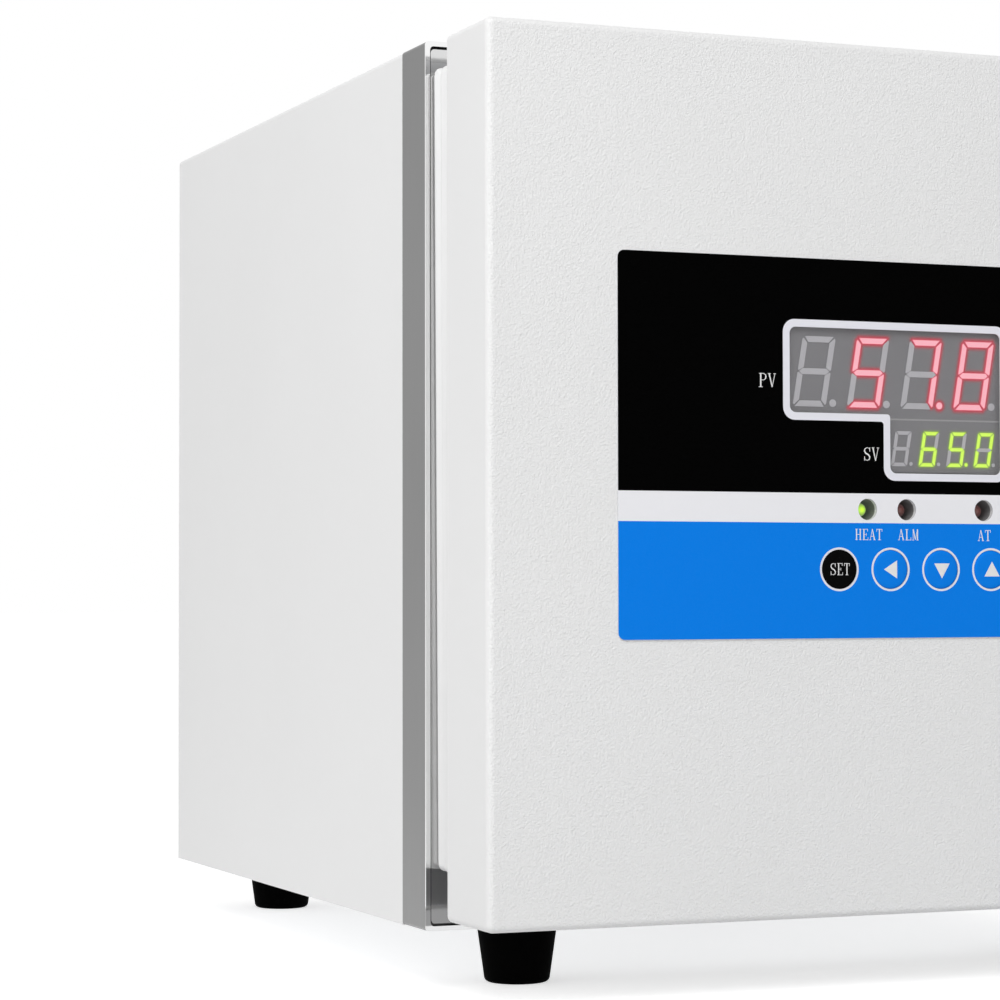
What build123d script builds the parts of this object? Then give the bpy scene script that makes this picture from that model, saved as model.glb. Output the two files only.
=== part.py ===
from build123d import *
import os

# A small bench-top laboratory incubator, in millimetres, standing on its feet.
# X runs to the right, Y to the rear, Z up, and the door is at the front.

# Cabinet, outside
width = 320.0
cabinet_height = 320.0
cabinet_depth = 320.0
shell_sheet = 1.2
shell_bend = 2.0
tray_upstand = 12.0
rear_recess = 9.0
rear_ledge = 12.0

# Stainless front frame
frame_sheet = 1.0
frame_flange = 24.0
frame_lip = 1.8
frame_corner = 1.4
frame_groove = 0.8
face_recess = 1.5
joggle_length = 1.0
tongue_length = 10.0

# Chamber, set by the walls round it
side_wall = 35.0
floor_wall = 40.0
ceiling_wall = 30.0
rear_room = 67.5
tank_sheet = 1.0
tank_corner = 12.0
tank_rear_corner = 8.0
tank_flange = 10.0
insulation_inset = 3.0
insulation_rear = 25.0
bulkhead_sheet = 1.0
bulkhead_flange = 10.0

# Shelves and their runners
runner_sheet = 1.2
runner_reach = 11.0
runner_height = 12.0
runner_front_gap = 20.0
runner_rear_gap = 20.0
runner_rise = 55.0
runner_drop = 45.0
runner_count = 4
shelf_frame_radius = 2.0
shelf_corner = 8.0
shelf_rod_radius = 1.25
shelf_rod_count = 11
shelf_side_gap = 3.0
shelf_front_gap = 23.0
shelf_rear_gap = 5.0
shelf_brace_count = 2

# Heating and measuring
heater_thickness = 1.5
heater_end_gap = 30.0
heater_edge_gap = 35.0
probe_radius = 2.5
probe_reach = 48.0
probe_side_inset = 30.0
probe_drop = 20.0
gland_radius = 7.0
gland_head = 4.0
cutout_radius = 8.0
cutout_height = 9.0
cutout_flange_radius = 12.0
cutout_flange_sheet = 1.0
cutout_tab_width = 6.0
cutout_tab_sheet = 0.8
cutout_tab_length = 7.0

# Feet
foot_height = 22.0
foot_top_radius = 15.0
foot_bottom_radius = 11.9
foot_edge = 2.0
foot_side_inset = 43.2
foot_end_inset = 19.5
foot_bore_radius = 5.0
foot_bore_depth = 12.0
foot_screw_radius = 1.5
foot_screw_head_radius = 3.2
foot_screw_head = 2.4
foot_nut_radius = 3.2
foot_nut_height = 2.4
foot_screw_end = 1.0

# Door
door_thickness = 38.0
door_gap = 21.5
door_top_drop = 1.45
door_bottom_rise = 5.3
door_sheet = 1.2
door_edge = 2.5
door_return = 12.0
liner_sheet = 1.0
liner_bulge = 8.0
liner_bulge_margin = 4.0
liner_bulge_corner = 14.0
liner_bulge_angle = 25.0

# Door gasket, measured from the edges of the cabinet
gasket_side_inset = 3.6
gasket_top_inset = 10.1
gasket_bottom_inset = 20.8
gasket_width = 14.0
gasket_base = 2.0
gasket_magnet_height = 4.5
gasket_magnet_inset = 1.5
gasket_ridge = 1.2
gasket_fold_count = 3

# Hinge
hinge_side_inset = 7.0
hinge_setback = 12.0
hinge_pin_radius = 2.5
hinge_plate_thickness = 2.5
hinge_plate_width = 24.0
hinge_plate_grip = 21.0
hinge_plate_side_gap = 1.5
hinge_plate_front_gap = 2.0
hinge_plate_corner = 4.0
hinge_nose_radius = 6.5
hinge_head_radius = 4.5
hinge_head_height = 1.5
bush_wall = 1.5
bush_length = 12.0
bush_flange_reach = 0.8
bush_flange = 1.0
bush_play = 0.2
bush_hole_end = 1.0
hinge_screw_radius = 2.0
hinge_screw_head_radius = 3.6
hinge_screw_head = 1.8
hinge_screw_length = 7.0
hinge_screw_inset = 5.0
hinge_screw_setback = 15.0

# Control panel, its overlay and windows, measured from the panel's lower left corner
panel_width = 223.0
panel_height = 135.5
panel_rise = 99.3
panel_corner = 2.5
overlay_thickness = 0.6
window_left = 67.0
window_right = 153.7
window_step = 107.6
window_top = 110.9
window_middle = 80.4
window_bottom = 59.2
window_corner = 2.0
window_lap = 0.9
window_sheet = 1.1
lamp_height = 46.1
lamp_left = 98.2
lamp_pitch = 16.05
lamp_hole_radius = 3.85
lamp_radius = 2.5
lamp_setback = 3.5
lamp_rim = 0.4
lamp_rim_height = 1.0
sleeve_wall = 1.15
key_height = 24.6
key_left = 86.6
key_count = 4
key_pitch = 20.85
key_radius = 6.95
key_rise = 0.5
key_travel = 0.6
key_crown = 0.35
key_collar_wall = 1.3
key_collar = 1.0
key_stem_radius = 2.0
switch_size = 6.0
switch_height = 3.5
switch_plunger_radius = 1.7
switch_plunger = 2.0

# Display modules, board and box behind the panel
module_setback = 0.3
module_depth = 10.0
pv_left = 64.5
pv_width = 91.5
pv_bottom = 78.9
pv_height = 34.0
sv_left = 105.8
sv_width = 50.2
sv_height = 19.0
board_sheet = 1.6
board_left = 56.0
board_right = 164.0
board_bottom = 12.0
board_top = 122.0
board_post_inset = 5.0
board_post_radius = 3.0
board_screw_radius = 1.25
board_screw_head_radius = 2.4
board_screw_head = 1.6
board_screw_length = 7.0
board_bore_end = 1.0
box_wall = 1.0
box_flange = 8.0
box_margin = 4.0
box_depth = 27.0
transformer_width = 30.0
transformer_height = 26.0
transformer_depth = 11.0
connector_width = 24.0
connector_height = 8.0
connector_depth = 7.0
connector_inset = 12.0
connector_rise = 8.0
chip_width = 16.0
chip_height = 8.0
chip_depth = 3.0
chip_rise = 30.0
can_radius = 5.0
can_depth = 12.0
can_offset = 16.0
can_pitch = 14.0
can_rise = 10.0
can_count = 2

# Rear panel and what is on it
rear_sheet = 1.2
rear_edge_gap = 1.0
vent_length = 46.0
vent_height = 3.0
vent_pitch = 8.0
vent_row_count = 7
vent_side_offset = 70.0
vent_drop = 60.0
rear_screw_radius = 1.75
rear_screw_head_radius = 3.4
rear_screw_head = 1.8
rear_screw_length = 6.0
rear_screw_inset = 7.0
inlet_side_inset = 65.0
inlet_rise = 62.0
inlet_width = 27.0
inlet_height = 44.0
inlet_depth = 24.0
inlet_flange_margin = 2.5
inlet_flange = 2.5
inlet_corner = 3.0
socket_width = 24.2
socket_height = 16.6
socket_depth = 15.0
socket_cut = 4.0
socket_rise = 9.5
pin_width = 2.0
pin_height = 4.0
pin_length = 12.0
pin_pitch = 7.0
pin_stagger = 4.0
drawer_width = 21.0
drawer_height = 9.0
drawer_depth = 17.0
drawer_drop = 12.5
drawer_travel = 14.0
drawer_front = 1.6
drawer_wall = 1.5
drawer_end_wall = 2.0
drawer_grip_width = 8.0
drawer_grip_depth = 1.0
drawer_grip_rise = 2.0
switch_spacing = 40.0
rocker_width = 12.0
rocker_height = 22.0
rocker_rim = 2.5
rocker_rise = 3.2
rocker_hollow = 1.6
rocker_end_gap = 0.6
rocker_foot_inset = 2.0
rocker_depth = 7.3
rocker_angle = 9.0
rocker_pivot_radius = 1.5
rocker_pivot_drop = 1.0
housing_depth = 22.0
housing_corner = 2.0
housing_floor = 3.0
journal_wall = 1.5
journal_gap = 0.2

# Parts on the bulkhead
terminal_count = 6
terminal_pitch = 9.0
terminal_slot_width = 6.0
terminal_rib = 5.0
terminal_width = 18.0
terminal_depth = 14.0
terminal_switch_gap = 17.0
terminal_rise = 70.0
relay_width = 45.0
relay_height = 58.0
relay_depth = 22.0
relay_terminal_gap = 20.5
relay_rise = 80.0
relay_slot = 10.0
relay_hole_radius = 2.2

# Clearances
sheet_fit = 0.1
soft_fit = 0.3
turn_fit = 0.05
slide_fit = 0.3
key_fit = 0.12
seat_gap = 0.3
wool_gap = 1.0

# Main planes, worked out from the sizes above
front_reach = overlay_thickness + key_rise
overall_depth = front_reach + door_thickness + door_gap + cabinet_depth
side = width / 2
door_front = front_reach - overall_depth / 2
door_back = door_front + door_thickness
cabinet_front = door_back + door_gap
cabinet_back = cabinet_front + cabinet_depth
cabinet_bottom = foot_height
cabinet_top = cabinet_bottom + cabinet_height
cabinet_middle = (cabinet_bottom + cabinet_top) / 2
door_bottom = cabinet_bottom + door_bottom_rise
door_top = cabinet_top - door_top_drop
face_front = cabinet_front + face_recess
face_back = face_front + frame_sheet
shell_front = cabinet_front + frame_flange
tongue_end = shell_front + tongue_length
chamber_floor = cabinet_bottom + floor_wall
chamber_ceiling = cabinet_top - ceiling_wall
chamber_middle = (chamber_floor + chamber_ceiling) / 2
chamber_height = chamber_ceiling - chamber_floor
chamber_width = width - 2 * side_wall
chamber_rear = cabinet_back - rear_room
chamber_depth = chamber_rear - face_back
tank_rear = chamber_rear + tank_sheet
insulation_back = tank_rear + insulation_rear
bulkhead_back = insulation_back + sheet_fit + bulkhead_sheet
rear_panel_back = cabinet_back - rear_recess + rear_sheet
hinge_x = side - hinge_side_inset
hinge_y = door_back - hinge_setback
panel_left = -panel_width / 2
panel_bottom = door_bottom + panel_rise
skin_back = door_front + door_sheet
module_front = skin_back + module_setback
board_front = module_front + module_depth
board_back = board_front + board_sheet
foot_x = side - foot_side_inset
foot_rows = (cabinet_front + foot_end_inset, cabinet_back - foot_end_inset)


def slab(x0, x1, y0, y1, z0, z1):
    """A square-edged block between six planes."""
    return Pos((x0 + x1) / 2, (y0 + y1) / 2, (z0 + z1) / 2) * Box(x1 - x0, y1 - y0, z1 - z0)


def from_front(outline, y0, y1):
    """An outline as it looks from the front, carried back from y0 to y1."""
    back = Plane(origin=(0, y1, 0), x_dir=(1, 0, 0), z_dir=(0, -1, 0))
    return extrude(back * outline, amount=y1 - y0)


def from_above(outline, z0, z1):
    """An outline as it looks from above, carried up from z0 to z1."""
    return extrude(Plane(origin=(0, 0, z0)) * outline, amount=z1 - z0)


def rod_back(x, z, radius, y0, y1):
    """A round rod that runs from front to rear."""
    return from_front(Pos(x, z) * Circle(radius), y0, y1)


def rod_up(x, y, radius, z0, z1):
    """A round rod that stands upright."""
    return from_above(Pos(x, y) * Circle(radius), z0, z1)


def group(pieces):
    """Like pieces kept as separate solids in one node."""
    return Compound(children=[piece.solid() for piece in pieces])


def case_outline(inset, corner):
    """The cabinet's front outline, moved inwards."""
    outline = RectangleRounded(width - 2 * inset, cabinet_height - 2 * inset, corner)
    return Pos(0, cabinet_middle) * outline


def mouth_outline(margin):
    """The chamber's mouth, moved outwards."""
    outline = RectangleRounded(
        chamber_width + 2 * margin, chamber_height + 2 * margin, tank_corner + margin)
    return Pos(0, chamber_middle) * outline


def foot_places():
    """The centres of the four feet, seen from above."""
    return [(x, y) for y in foot_rows for x in (-foot_x, foot_x)]


# Cabinet


def wrap_outline(inset, corner):
    """The folded sheet's outline: square at the foot, rounded at the two upper corners."""
    outline = Rectangle(width - 2 * inset, cabinet_height - inset)
    outline = Pos(0, cabinet_middle - inset / 2) * outline
    return fillet(outline.vertices().group_by(Axis.Y)[-1], corner)


def rear_screw_places():
    """Two columns of three screws and one more at the middle of the top and of the foot."""
    across = side - shell_sheet - rear_screw_inset
    up = cabinet_height / 2 - shell_sheet - rear_screw_inset
    columns = [(x, cabinet_middle + z) for x in (-across, across) for z in (-up, 0, up)]
    return columns + [(0, cabinet_middle - up), (0, cabinet_middle + up)]


def rear_screw_holes():
    """The clearance holes for the rear panel's screws, as rods through the ledge and the panel."""
    y0 = cabinet_back - rear_recess - 2 * shell_sheet
    radius = rear_screw_radius + turn_fit
    return [rod_back(x, z, radius, y0, cabinet_back) for x, z in rear_screw_places()]


def outer_shell():
    """Both sides and the top folded from one sheet, with a ledge at the rear for the rear panel."""
    inner = wrap_outline(shell_sheet, shell_bend - shell_sheet)
    inner -= Pos(0, cabinet_bottom) * Rectangle(width, 2 * shell_sheet)
    wrap = wrap_outline(0, shell_bend) - inner
    wrap -= Pos(0, cabinet_bottom) * Rectangle(width - 2 * shell_sheet, 2 * shell_sheet)
    shell = from_front(wrap, shell_front, cabinet_back)
    ledge_back = cabinet_back - rear_recess
    ledge = wrap_outline(shell_sheet / 2, shell_bend)
    ledge -= wrap_outline(shell_sheet + rear_ledge, shell_bend)
    ledge_foot = cabinet_bottom + shell_sheet + tray_upstand
    ledge -= Pos(0, cabinet_bottom) * Rectangle(width, 2 * (ledge_foot - cabinet_bottom))
    shell += from_front(ledge, ledge_back - shell_sheet, ledge_back)
    return shell - rear_screw_holes()


def base_tray():
    """The floor of the cabinet, a tray whose sides stand up inside the shell."""
    half = side - shell_sheet - sheet_fit
    low = cabinet_bottom
    high = low + shell_sheet + tray_upstand - sheet_fit
    ledge_back = cabinet_back - rear_recess
    tray = slab(-half, half, shell_front, cabinet_back, low, low + shell_sheet)
    for inner, outer in ((-half + shell_sheet, -half), (half - shell_sheet, half)):
        x0, x1 = sorted((inner, outer))
        tray += slab(x0, x1, tongue_end + sheet_fit, ledge_back, low, high)
    tray += slab(-half, half, ledge_back - shell_sheet, ledge_back, low, high)
    tray -= [rod_up(x, y, foot_screw_radius + turn_fit, low, high) for x, y in foot_places()]
    return tray - rear_screw_holes()


def front_frame():
    """The stainless collar: a flange along the sides, a hemmed lip, a groove, a face round the
    chamber's mouth, and a tongue behind a joggle that carries the shell."""
    full = case_outline(0, frame_corner)
    hem = case_outline(frame_lip, frame_corner)
    face = case_outline(frame_lip + frame_groove, frame_corner)
    rim = case_outline(frame_lip + frame_groove + frame_sheet, frame_corner)
    web_back = face_back + frame_sheet
    frame = from_front(full - case_outline(frame_sheet, frame_corner), cabinet_front, shell_front)
    frame += from_front(full - hem, cabinet_front, web_back)
    frame += from_front(full - rim, face_back, web_back)
    frame += from_front(face - rim, face_front, web_back)
    frame += from_front(face - mouth_outline(0), face_front, face_back)
    tongue_outer = case_outline(shell_sheet, shell_bend - shell_sheet)
    tongue_inner = case_outline(shell_sheet + frame_sheet, shell_bend - shell_sheet)
    frame += from_front(tongue_outer - tongue_inner, shell_front - joggle_length, tongue_end)
    joggle = case_outline(frame_sheet / 2, shell_bend) - tongue_inner
    frame += from_front(joggle, shell_front - joggle_length, shell_front)
    high = cabinet_bottom + shell_bend
    radius = foot_screw_radius + turn_fit
    frame -= [rod_up(x, y, radius, cabinet_bottom, high) for x, y in foot_places() if y < tongue_end]
    return frame - hinge_screw_holes()


def chamber_tank():
    """The stainless inner box: open at the front, round corners, a flange behind the front frame."""
    outer = from_front(mouth_outline(tank_sheet), face_back, tank_rear)
    outer = fillet(outer.faces().sort_by(Axis.Y)[-1].edges(), tank_rear_corner + tank_sheet)
    hollow = from_front(mouth_outline(0), face_back, chamber_rear)
    hollow = fillet(hollow.faces().sort_by(Axis.Y)[-1].edges(), tank_rear_corner)
    flange = from_front(mouth_outline(tank_flange), face_back, face_back + tank_sheet)
    tank = outer + flange - hollow
    probe_x, probe_z = probe_place()
    return tank - rod_back(probe_x, probe_z, gland_radius / 2 + turn_fit, chamber_rear, tank_rear)


def runner_heights():
    """The heights on which shelves can lie."""
    lowest = chamber_floor + runner_rise
    pitch = (chamber_ceiling - runner_drop - lowest) / (runner_count - 1)
    return [lowest + index * pitch for index in range(runner_count)]


def shelf_runners(hand):
    """Angle strips welded to one side wall; a shelf lies on the leg that reaches inwards."""
    wall = chamber_width / 2
    y0 = face_back + runner_front_gap
    y1 = chamber_rear - runner_rear_gap
    strips = []
    for top in runner_heights():
        angle = make_face(Polyline(
            (wall, top - runner_height), (wall, top), (wall - runner_reach, top),
            (wall - runner_reach, top - runner_sheet), (wall - runner_sheet, top - runner_sheet),
            (wall - runner_sheet, top - runner_height), close=True))
        strip = from_front(angle, y0, y1)
        strips.append(strip if hand > 0 else mirror(strip, about=Plane.YZ))
    return group(strips)


def wire_shelf(runner):
    """A wire shelf: a bent frame with rods from front to rear and braces under them."""
    bottom = runner + seat_gap
    z = bottom + shelf_frame_radius
    rear = chamber_rear - shelf_rear_gap - shelf_frame_radius
    front = face_back + shelf_front_gap + shelf_frame_radius
    reach = chamber_width / 2 - shelf_side_gap - shelf_frame_radius
    length = rear - front
    loop = RectangleRounded(2 * reach, length, shelf_corner).wires()[0]
    loop = Pos(0, (front + rear) / 2, z) * loop
    section = Plane(origin=loop @ 0, z_dir=loop % 0) * Circle(shelf_frame_radius)
    shelf = sweep(section, path=loop)
    step = 2 * reach / (shelf_rod_count + 1)
    rods = [
        rod_back(-reach + step * (index + 1), z, shelf_rod_radius, front, rear)
        for index in range(shelf_rod_count)]
    brace_z = bottom + shelf_rod_radius
    for index in range(shelf_brace_count):
        y = front + length * (index + 1) / (shelf_brace_count + 1)
        rods.append(Pos(0, y, brace_z) * Rot(0, 90, 0) * Cylinder(shelf_rod_radius, 2 * reach))
    return shelf + rods


def probe_place():
    """Where the temperature probe comes through the chamber's rear wall."""
    return chamber_width / 2 - probe_side_inset, chamber_ceiling - probe_drop


def temperature_probe():
    """A closed stainless tube with a domed tip, through the rear wall."""
    x, z = probe_place()
    tip = chamber_rear - probe_reach
    tube = rod_back(x, z, probe_radius, tip + probe_radius, tank_rear + insulation_rear / 2)
    return tube + Pos(x, tip + probe_radius, z) * Sphere(probe_radius)


def probe_gland():
    """The moulded gland that holds the probe in the rear wall."""
    x, z = probe_place()
    neck = rod_back(x, z, gland_radius / 2, chamber_rear, tank_rear + gland_head)
    head = rod_back(x, z, gland_radius, chamber_rear - gland_head, chamber_rear)
    head = chamfer(head.faces().sort_by(Axis.Y)[0].edges(), gland_head / 4)
    front = chamber_rear - gland_head
    return head + neck - rod_back(x, z, probe_radius + turn_fit, front, tank_rear + gland_head)


def heater_mat(kind):
    """A thin heating mat that lies flat on the outside of the tank."""
    y0 = face_back + heater_end_gap
    y1 = chamber_rear - heater_end_gap
    wall = chamber_width / 2 + tank_sheet
    if kind == "floor":
        half = chamber_width / 2 - heater_edge_gap
        top = chamber_floor - tank_sheet
        return slab(-half, half, y0, y1, top - heater_thickness, top)
    x0, x1 = sorted((kind * wall, kind * (wall + heater_thickness)))
    return slab(x0, x1, y0, y1, chamber_floor + heater_edge_gap, chamber_ceiling - heater_edge_gap)


def thermal_cutout():
    """A snap-disc cut-out against the rear of the tank, with its fixing flange and two tabs."""
    seat = tank_rear + cutout_flange_sheet
    top = tank_rear + cutout_height
    can = rod_back(0, chamber_middle, cutout_radius, tank_rear, top)
    can = fillet(can.faces().sort_by(Axis.Y)[-1].edges(), cutout_flange_sheet)
    for x in (-cutout_radius / 2, cutout_radius / 2):
        tab = Pos(x, chamber_middle) * Rectangle(cutout_tab_width, cutout_tab_sheet)
        can += from_front(tab, top - cutout_flange_sheet, top + cutout_tab_length)
    return can + rod_back(0, chamber_middle, cutout_flange_radius, tank_rear, seat)


def chamber_insulation():
    """The mineral wool jacket round the tank, with pockets for heaters, cut-out, probe and screws."""
    inset = insulation_inset
    front = face_back + max(tank_sheet, frame_sheet) + seat_gap
    blanket = from_front(case_outline(inset, shell_bend), front, insulation_back)
    pocket = heater_thickness + seat_gap
    blanket -= from_front(mouth_outline(tank_sheet + pocket), front, tank_rear + seat_gap)
    blanket -= rod_back(0, chamber_middle, cutout_flange_radius + seat_gap, tank_rear, insulation_back)
    probe_x, probe_z = probe_place()
    blanket -= rod_back(probe_x, probe_z, gland_radius, tank_rear, insulation_back)
    screw_top = cabinet_bottom + shell_sheet + foot_nut_height + foot_screw_end + wool_gap
    clear = foot_nut_radius + wool_gap
    blanket -= [rod_up(x, y, clear, cabinet_bottom, screw_top) for x, y in foot_places()]
    clear = hinge_screw_radius + wool_gap
    for x, y in hinge_screw_places():
        reach = hinge_screw_length + wool_gap
        blanket -= rod_up(x, y, clear, cabinet_top - reach, cabinet_top)
        blanket -= rod_up(x, y, clear, cabinet_bottom, cabinet_bottom + reach)
    return blanket


def bulkhead():
    """The sheet that closes the insulated part; its side flanges stand against the shell."""
    half = side - shell_sheet - sheet_fit
    low = cabinet_bottom + shell_sheet + sheet_fit
    high = cabinet_top - shell_sheet - sheet_fit
    front = bulkhead_back - bulkhead_sheet
    notch = tray_upstand + shell_sheet
    plate = slab(-half, half, front, bulkhead_back, low, high)
    for hand in (-1, 1):
        x0, x1 = sorted((hand * half, hand * (half - bulkhead_sheet)))
        plate += slab(x0, x1, front, bulkhead_back + bulkhead_flange, low, high)
        x0, x1 = sorted((hand * half, hand * (half - shell_sheet - 2 * sheet_fit)))
        plate -= slab(x0, x1, front, bulkhead_back + bulkhead_flange, low, cabinet_bottom + notch)
        plate -= slab(x0, x1, front, bulkhead_back + bulkhead_flange, high - shell_bend, high)
    plate -= rod_back(0, chamber_middle, cutout_radius, front, bulkhead_back)
    probe_x, probe_z = probe_place()
    return plate - rod_back(probe_x, probe_z, gland_radius, front, bulkhead_back)


def terminal_span():
    """The left end and length of the terminal block, which stands beside the power switch."""
    length = terminal_count * terminal_pitch
    switch_left = switch_place()[0] - rocker_width / 2 - 2 * rocker_rim
    return switch_left - terminal_switch_gap - length, length


def terminal_block():
    """A screw terminal block on the bulkhead, with two open slots for each way."""
    x, length = terminal_span()
    z = cabinet_bottom + terminal_rise
    half = terminal_width / 2
    y1 = bulkhead_back + terminal_depth
    block = slab(x, x + length, bulkhead_back, y1, z - half, z + half)
    block = chamfer(block.faces().sort_by(Axis.Y)[-1].edges().filter_by(Axis.X), terminal_depth / 5)
    slots = Rectangle(terminal_slot_width, terminal_width)
    slots -= Rectangle(terminal_slot_width, terminal_rib)
    for index in range(terminal_count):
        way = x + terminal_pitch * (index + 0.5)
        block -= from_front(Pos(way, z) * slots, y1 - terminal_depth / 2, y1)
    return block


def heater_relay():
    """A solid-state relay, stepped down at both ends round its two fixing holes."""
    y1 = bulkhead_back + relay_depth
    x = terminal_span()[0] - relay_terminal_gap - relay_width / 2
    centre = Pos(x, cabinet_bottom + relay_rise)
    case = Rectangle(relay_width, relay_height)
    case -= GridLocations(0, relay_height - relay_slot, 1, 2) * Circle(relay_hole_radius)
    case = from_front(centre * case, bulkhead_back, y1)
    ends = Rectangle(relay_width, relay_height) - Rectangle(relay_width, relay_height - 2 * relay_slot)
    return case - from_front(centre * ends, y1 - relay_depth / 3, y1)


def rear_panel():
    """The rear cover inside the shell's rim, with louvre slots and cut-outs for inlet and switch."""
    inset = shell_sheet + rear_edge_gap
    sheet = case_outline(inset, shell_bend)
    vents = GridLocations(2 * vent_side_offset, vent_pitch, 2, vent_row_count)
    sheet -= Pos(0, cabinet_top - vent_drop) * vents * SlotOverall(vent_length, vent_height)
    inlet_x, inlet_z = inlet_place()
    fit = 2 * sheet_fit
    sheet -= Pos(inlet_x, inlet_z) * Rectangle(inlet_width + fit, inlet_height + fit)
    switch_x, switch_z = switch_place()
    rim = 2 * rocker_rim + fit
    sheet -= Pos(switch_x, switch_z) * Rectangle(rocker_width + rim, rocker_height + rim)
    return from_front(sheet, rear_panel_back - rear_sheet, rear_panel_back) - rear_screw_holes()


def rear_panel_screws():
    """Pan-head screws through the rear panel into the ledge."""
    screws = []
    seat = rear_panel_back
    for x, z in rear_screw_places():
        head = rod_back(x, z, rear_screw_head_radius, seat, seat + rear_screw_head)
        head = fillet(head.faces().sort_by(Axis.Y)[-1].edges(), rear_screw_head / 2)
        screws.append(head + rod_back(x, z, rear_screw_radius, seat - rear_screw_length, seat))
    return group(screws)


def inlet_place():
    """The centre of the mains inlet on the rear panel."""
    return side - inlet_side_inset, cabinet_bottom + inlet_rise


def switch_place():
    """The centre of the mains switch on the rear panel."""
    inlet_x, inlet_z = inlet_place()
    return inlet_x - switch_spacing, inlet_z


def power_inlet():
    """The moulded mains inlet: a socket with two cut corners above the slot for the fuse drawer."""
    x, z = inlet_place()
    front = rear_panel_back - inlet_depth
    back = rear_panel_back + inlet_flange
    centre = Pos(x, z)
    margin = 2 * inlet_flange_margin
    body = from_front(centre * Rectangle(inlet_width, inlet_height), front, back)
    flange = RectangleRounded(inlet_width + margin, inlet_height + margin, inlet_corner)
    body += from_front(centre * flange, rear_panel_back, back)
    socket = Rectangle(socket_width, socket_height)
    socket = chamfer(socket.vertices().group_by(Axis.Y)[-1], socket_cut)
    body -= from_front(Pos(x, z + socket_rise) * socket, back - socket_depth, back)
    slot = Rectangle(drawer_width + 2 * slide_fit, drawer_height + 2 * slide_fit)
    return body - from_front(Pos(x, z - drawer_drop) * slot, back - drawer_depth - slide_fit, back)


def inlet_pins():
    """The three blades in the inlet's socket; the middle one stands higher."""
    x, z = inlet_place()
    root = rear_panel_back + inlet_flange - socket_depth
    pins = []
    for index in (-1, 0, 1):
        pin_z = z + socket_rise + (pin_stagger / 2 if index == 0 else -pin_stagger / 2)
        pin_x = x + index * pin_pitch
        pin = slab(pin_x - pin_width / 2, pin_x + pin_width / 2, root, root + pin_length,
                   pin_z - pin_height / 2, pin_z + pin_height / 2)
        pins.append(chamfer(pin.faces().sort_by(Axis.Y)[-1].edges(), pin_width / 5))
    return group(pins)


def fuse_drawer():
    """The pull-out carrier of the fuse, hollow, with a finger notch in its front."""
    x, z = inlet_place()
    back = rear_panel_back + inlet_flange
    front = back - drawer_depth
    face = back + drawer_front
    centre = Pos(x, z - drawer_drop)
    drawer = from_front(centre * Rectangle(drawer_width, drawer_height), front, face)
    hollow = Rectangle(drawer_width - 2 * drawer_wall, drawer_height - 2 * drawer_wall)
    drawer -= from_front(centre * hollow, front + drawer_wall, back - drawer_end_wall)
    notch = Rectangle(drawer_grip_width, drawer_height / 2)
    notch = Pos(0, drawer_grip_rise + drawer_height / 4) * notch
    return drawer - from_front(centre * notch, face - drawer_grip_depth, face)


def switch_pivot():
    """The axis on which the rocker tips, behind the rear panel's face."""
    x, z = switch_place()
    return x, rear_panel_back - rocker_pivot_drop, z


def journal_length():
    """The rocker's pivots from end to end; the housing keeps a wall outside them."""
    return rocker_width + 2 * (rocker_rim - journal_wall)


def switch_housing():
    """The rocker switch's frame, snapped into the rear panel, with journals for the rocker."""
    x, z = switch_place()
    front = rear_panel_back - housing_depth
    back = rear_panel_back + inlet_flange / 2
    rim = 2 * rocker_rim
    centre = Pos(x, z)
    body = from_front(centre * Rectangle(rocker_width + rim, rocker_height + rim), front, back)
    flange = RectangleRounded(rocker_width + 2 * rim, rocker_height + 2 * rim, housing_corner)
    body += from_front(centre * flange, rear_panel_back, back)
    well = Rectangle(rocker_width + 2 * slide_fit, rocker_height + 2 * slide_fit)
    body -= from_front(centre * well, front + housing_floor, back)
    journal = Cylinder(rocker_pivot_radius + turn_fit, journal_length() + 2 * journal_gap)
    return body - Pos(*switch_pivot()) * Rot(0, 90, 0) * journal


def power_rocker():
    """The rocker, tipped to its off side, with its two pivots."""
    crest = rocker_rise + rocker_pivot_drop + inlet_flange / 2 - rocker_hollow
    half = rocker_height / 2 - 2 * rocker_end_gap
    foot_half = rocker_height / 2 - rocker_end_gap - rocker_foot_inset
    outline = make_face(Polyline(
        (-foot_half, -rocker_depth), (foot_half, -rocker_depth), (half, crest),
        (0, crest - rocker_hollow), (-half, crest), close=True))
    across = Plane(origin=(0, 0, 0), x_dir=(0, 0, 1), z_dir=(-1, 0, 0))
    rocker = extrude(across * outline, amount=rocker_width / 2, both=True)
    rocker += Rot(0, 90, 0) * Cylinder(rocker_pivot_radius, journal_length())
    return Pos(*switch_pivot()) * Rot(rocker_angle, 0, 0) * rocker


# Feet


def foot(x, y):
    """A tapered rubber foot with a rounded lower edge and a bore for its screw."""
    outline = make_face(Polyline(
        (0, 0), (foot_bottom_radius, 0), (foot_top_radius, foot_height), (0, foot_height), close=True))
    edge = outline.vertices().sort_by_distance((foot_bottom_radius, 0, 0))[0]
    body = revolve(Plane.XZ * fillet(edge, foot_edge), axis=Axis.Z)
    body -= rod_up(0, 0, foot_bore_radius, 0, foot_bore_depth)
    body -= rod_up(0, 0, foot_screw_radius + turn_fit, 0, foot_height)
    return Pos(x, y, 0) * body


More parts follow.
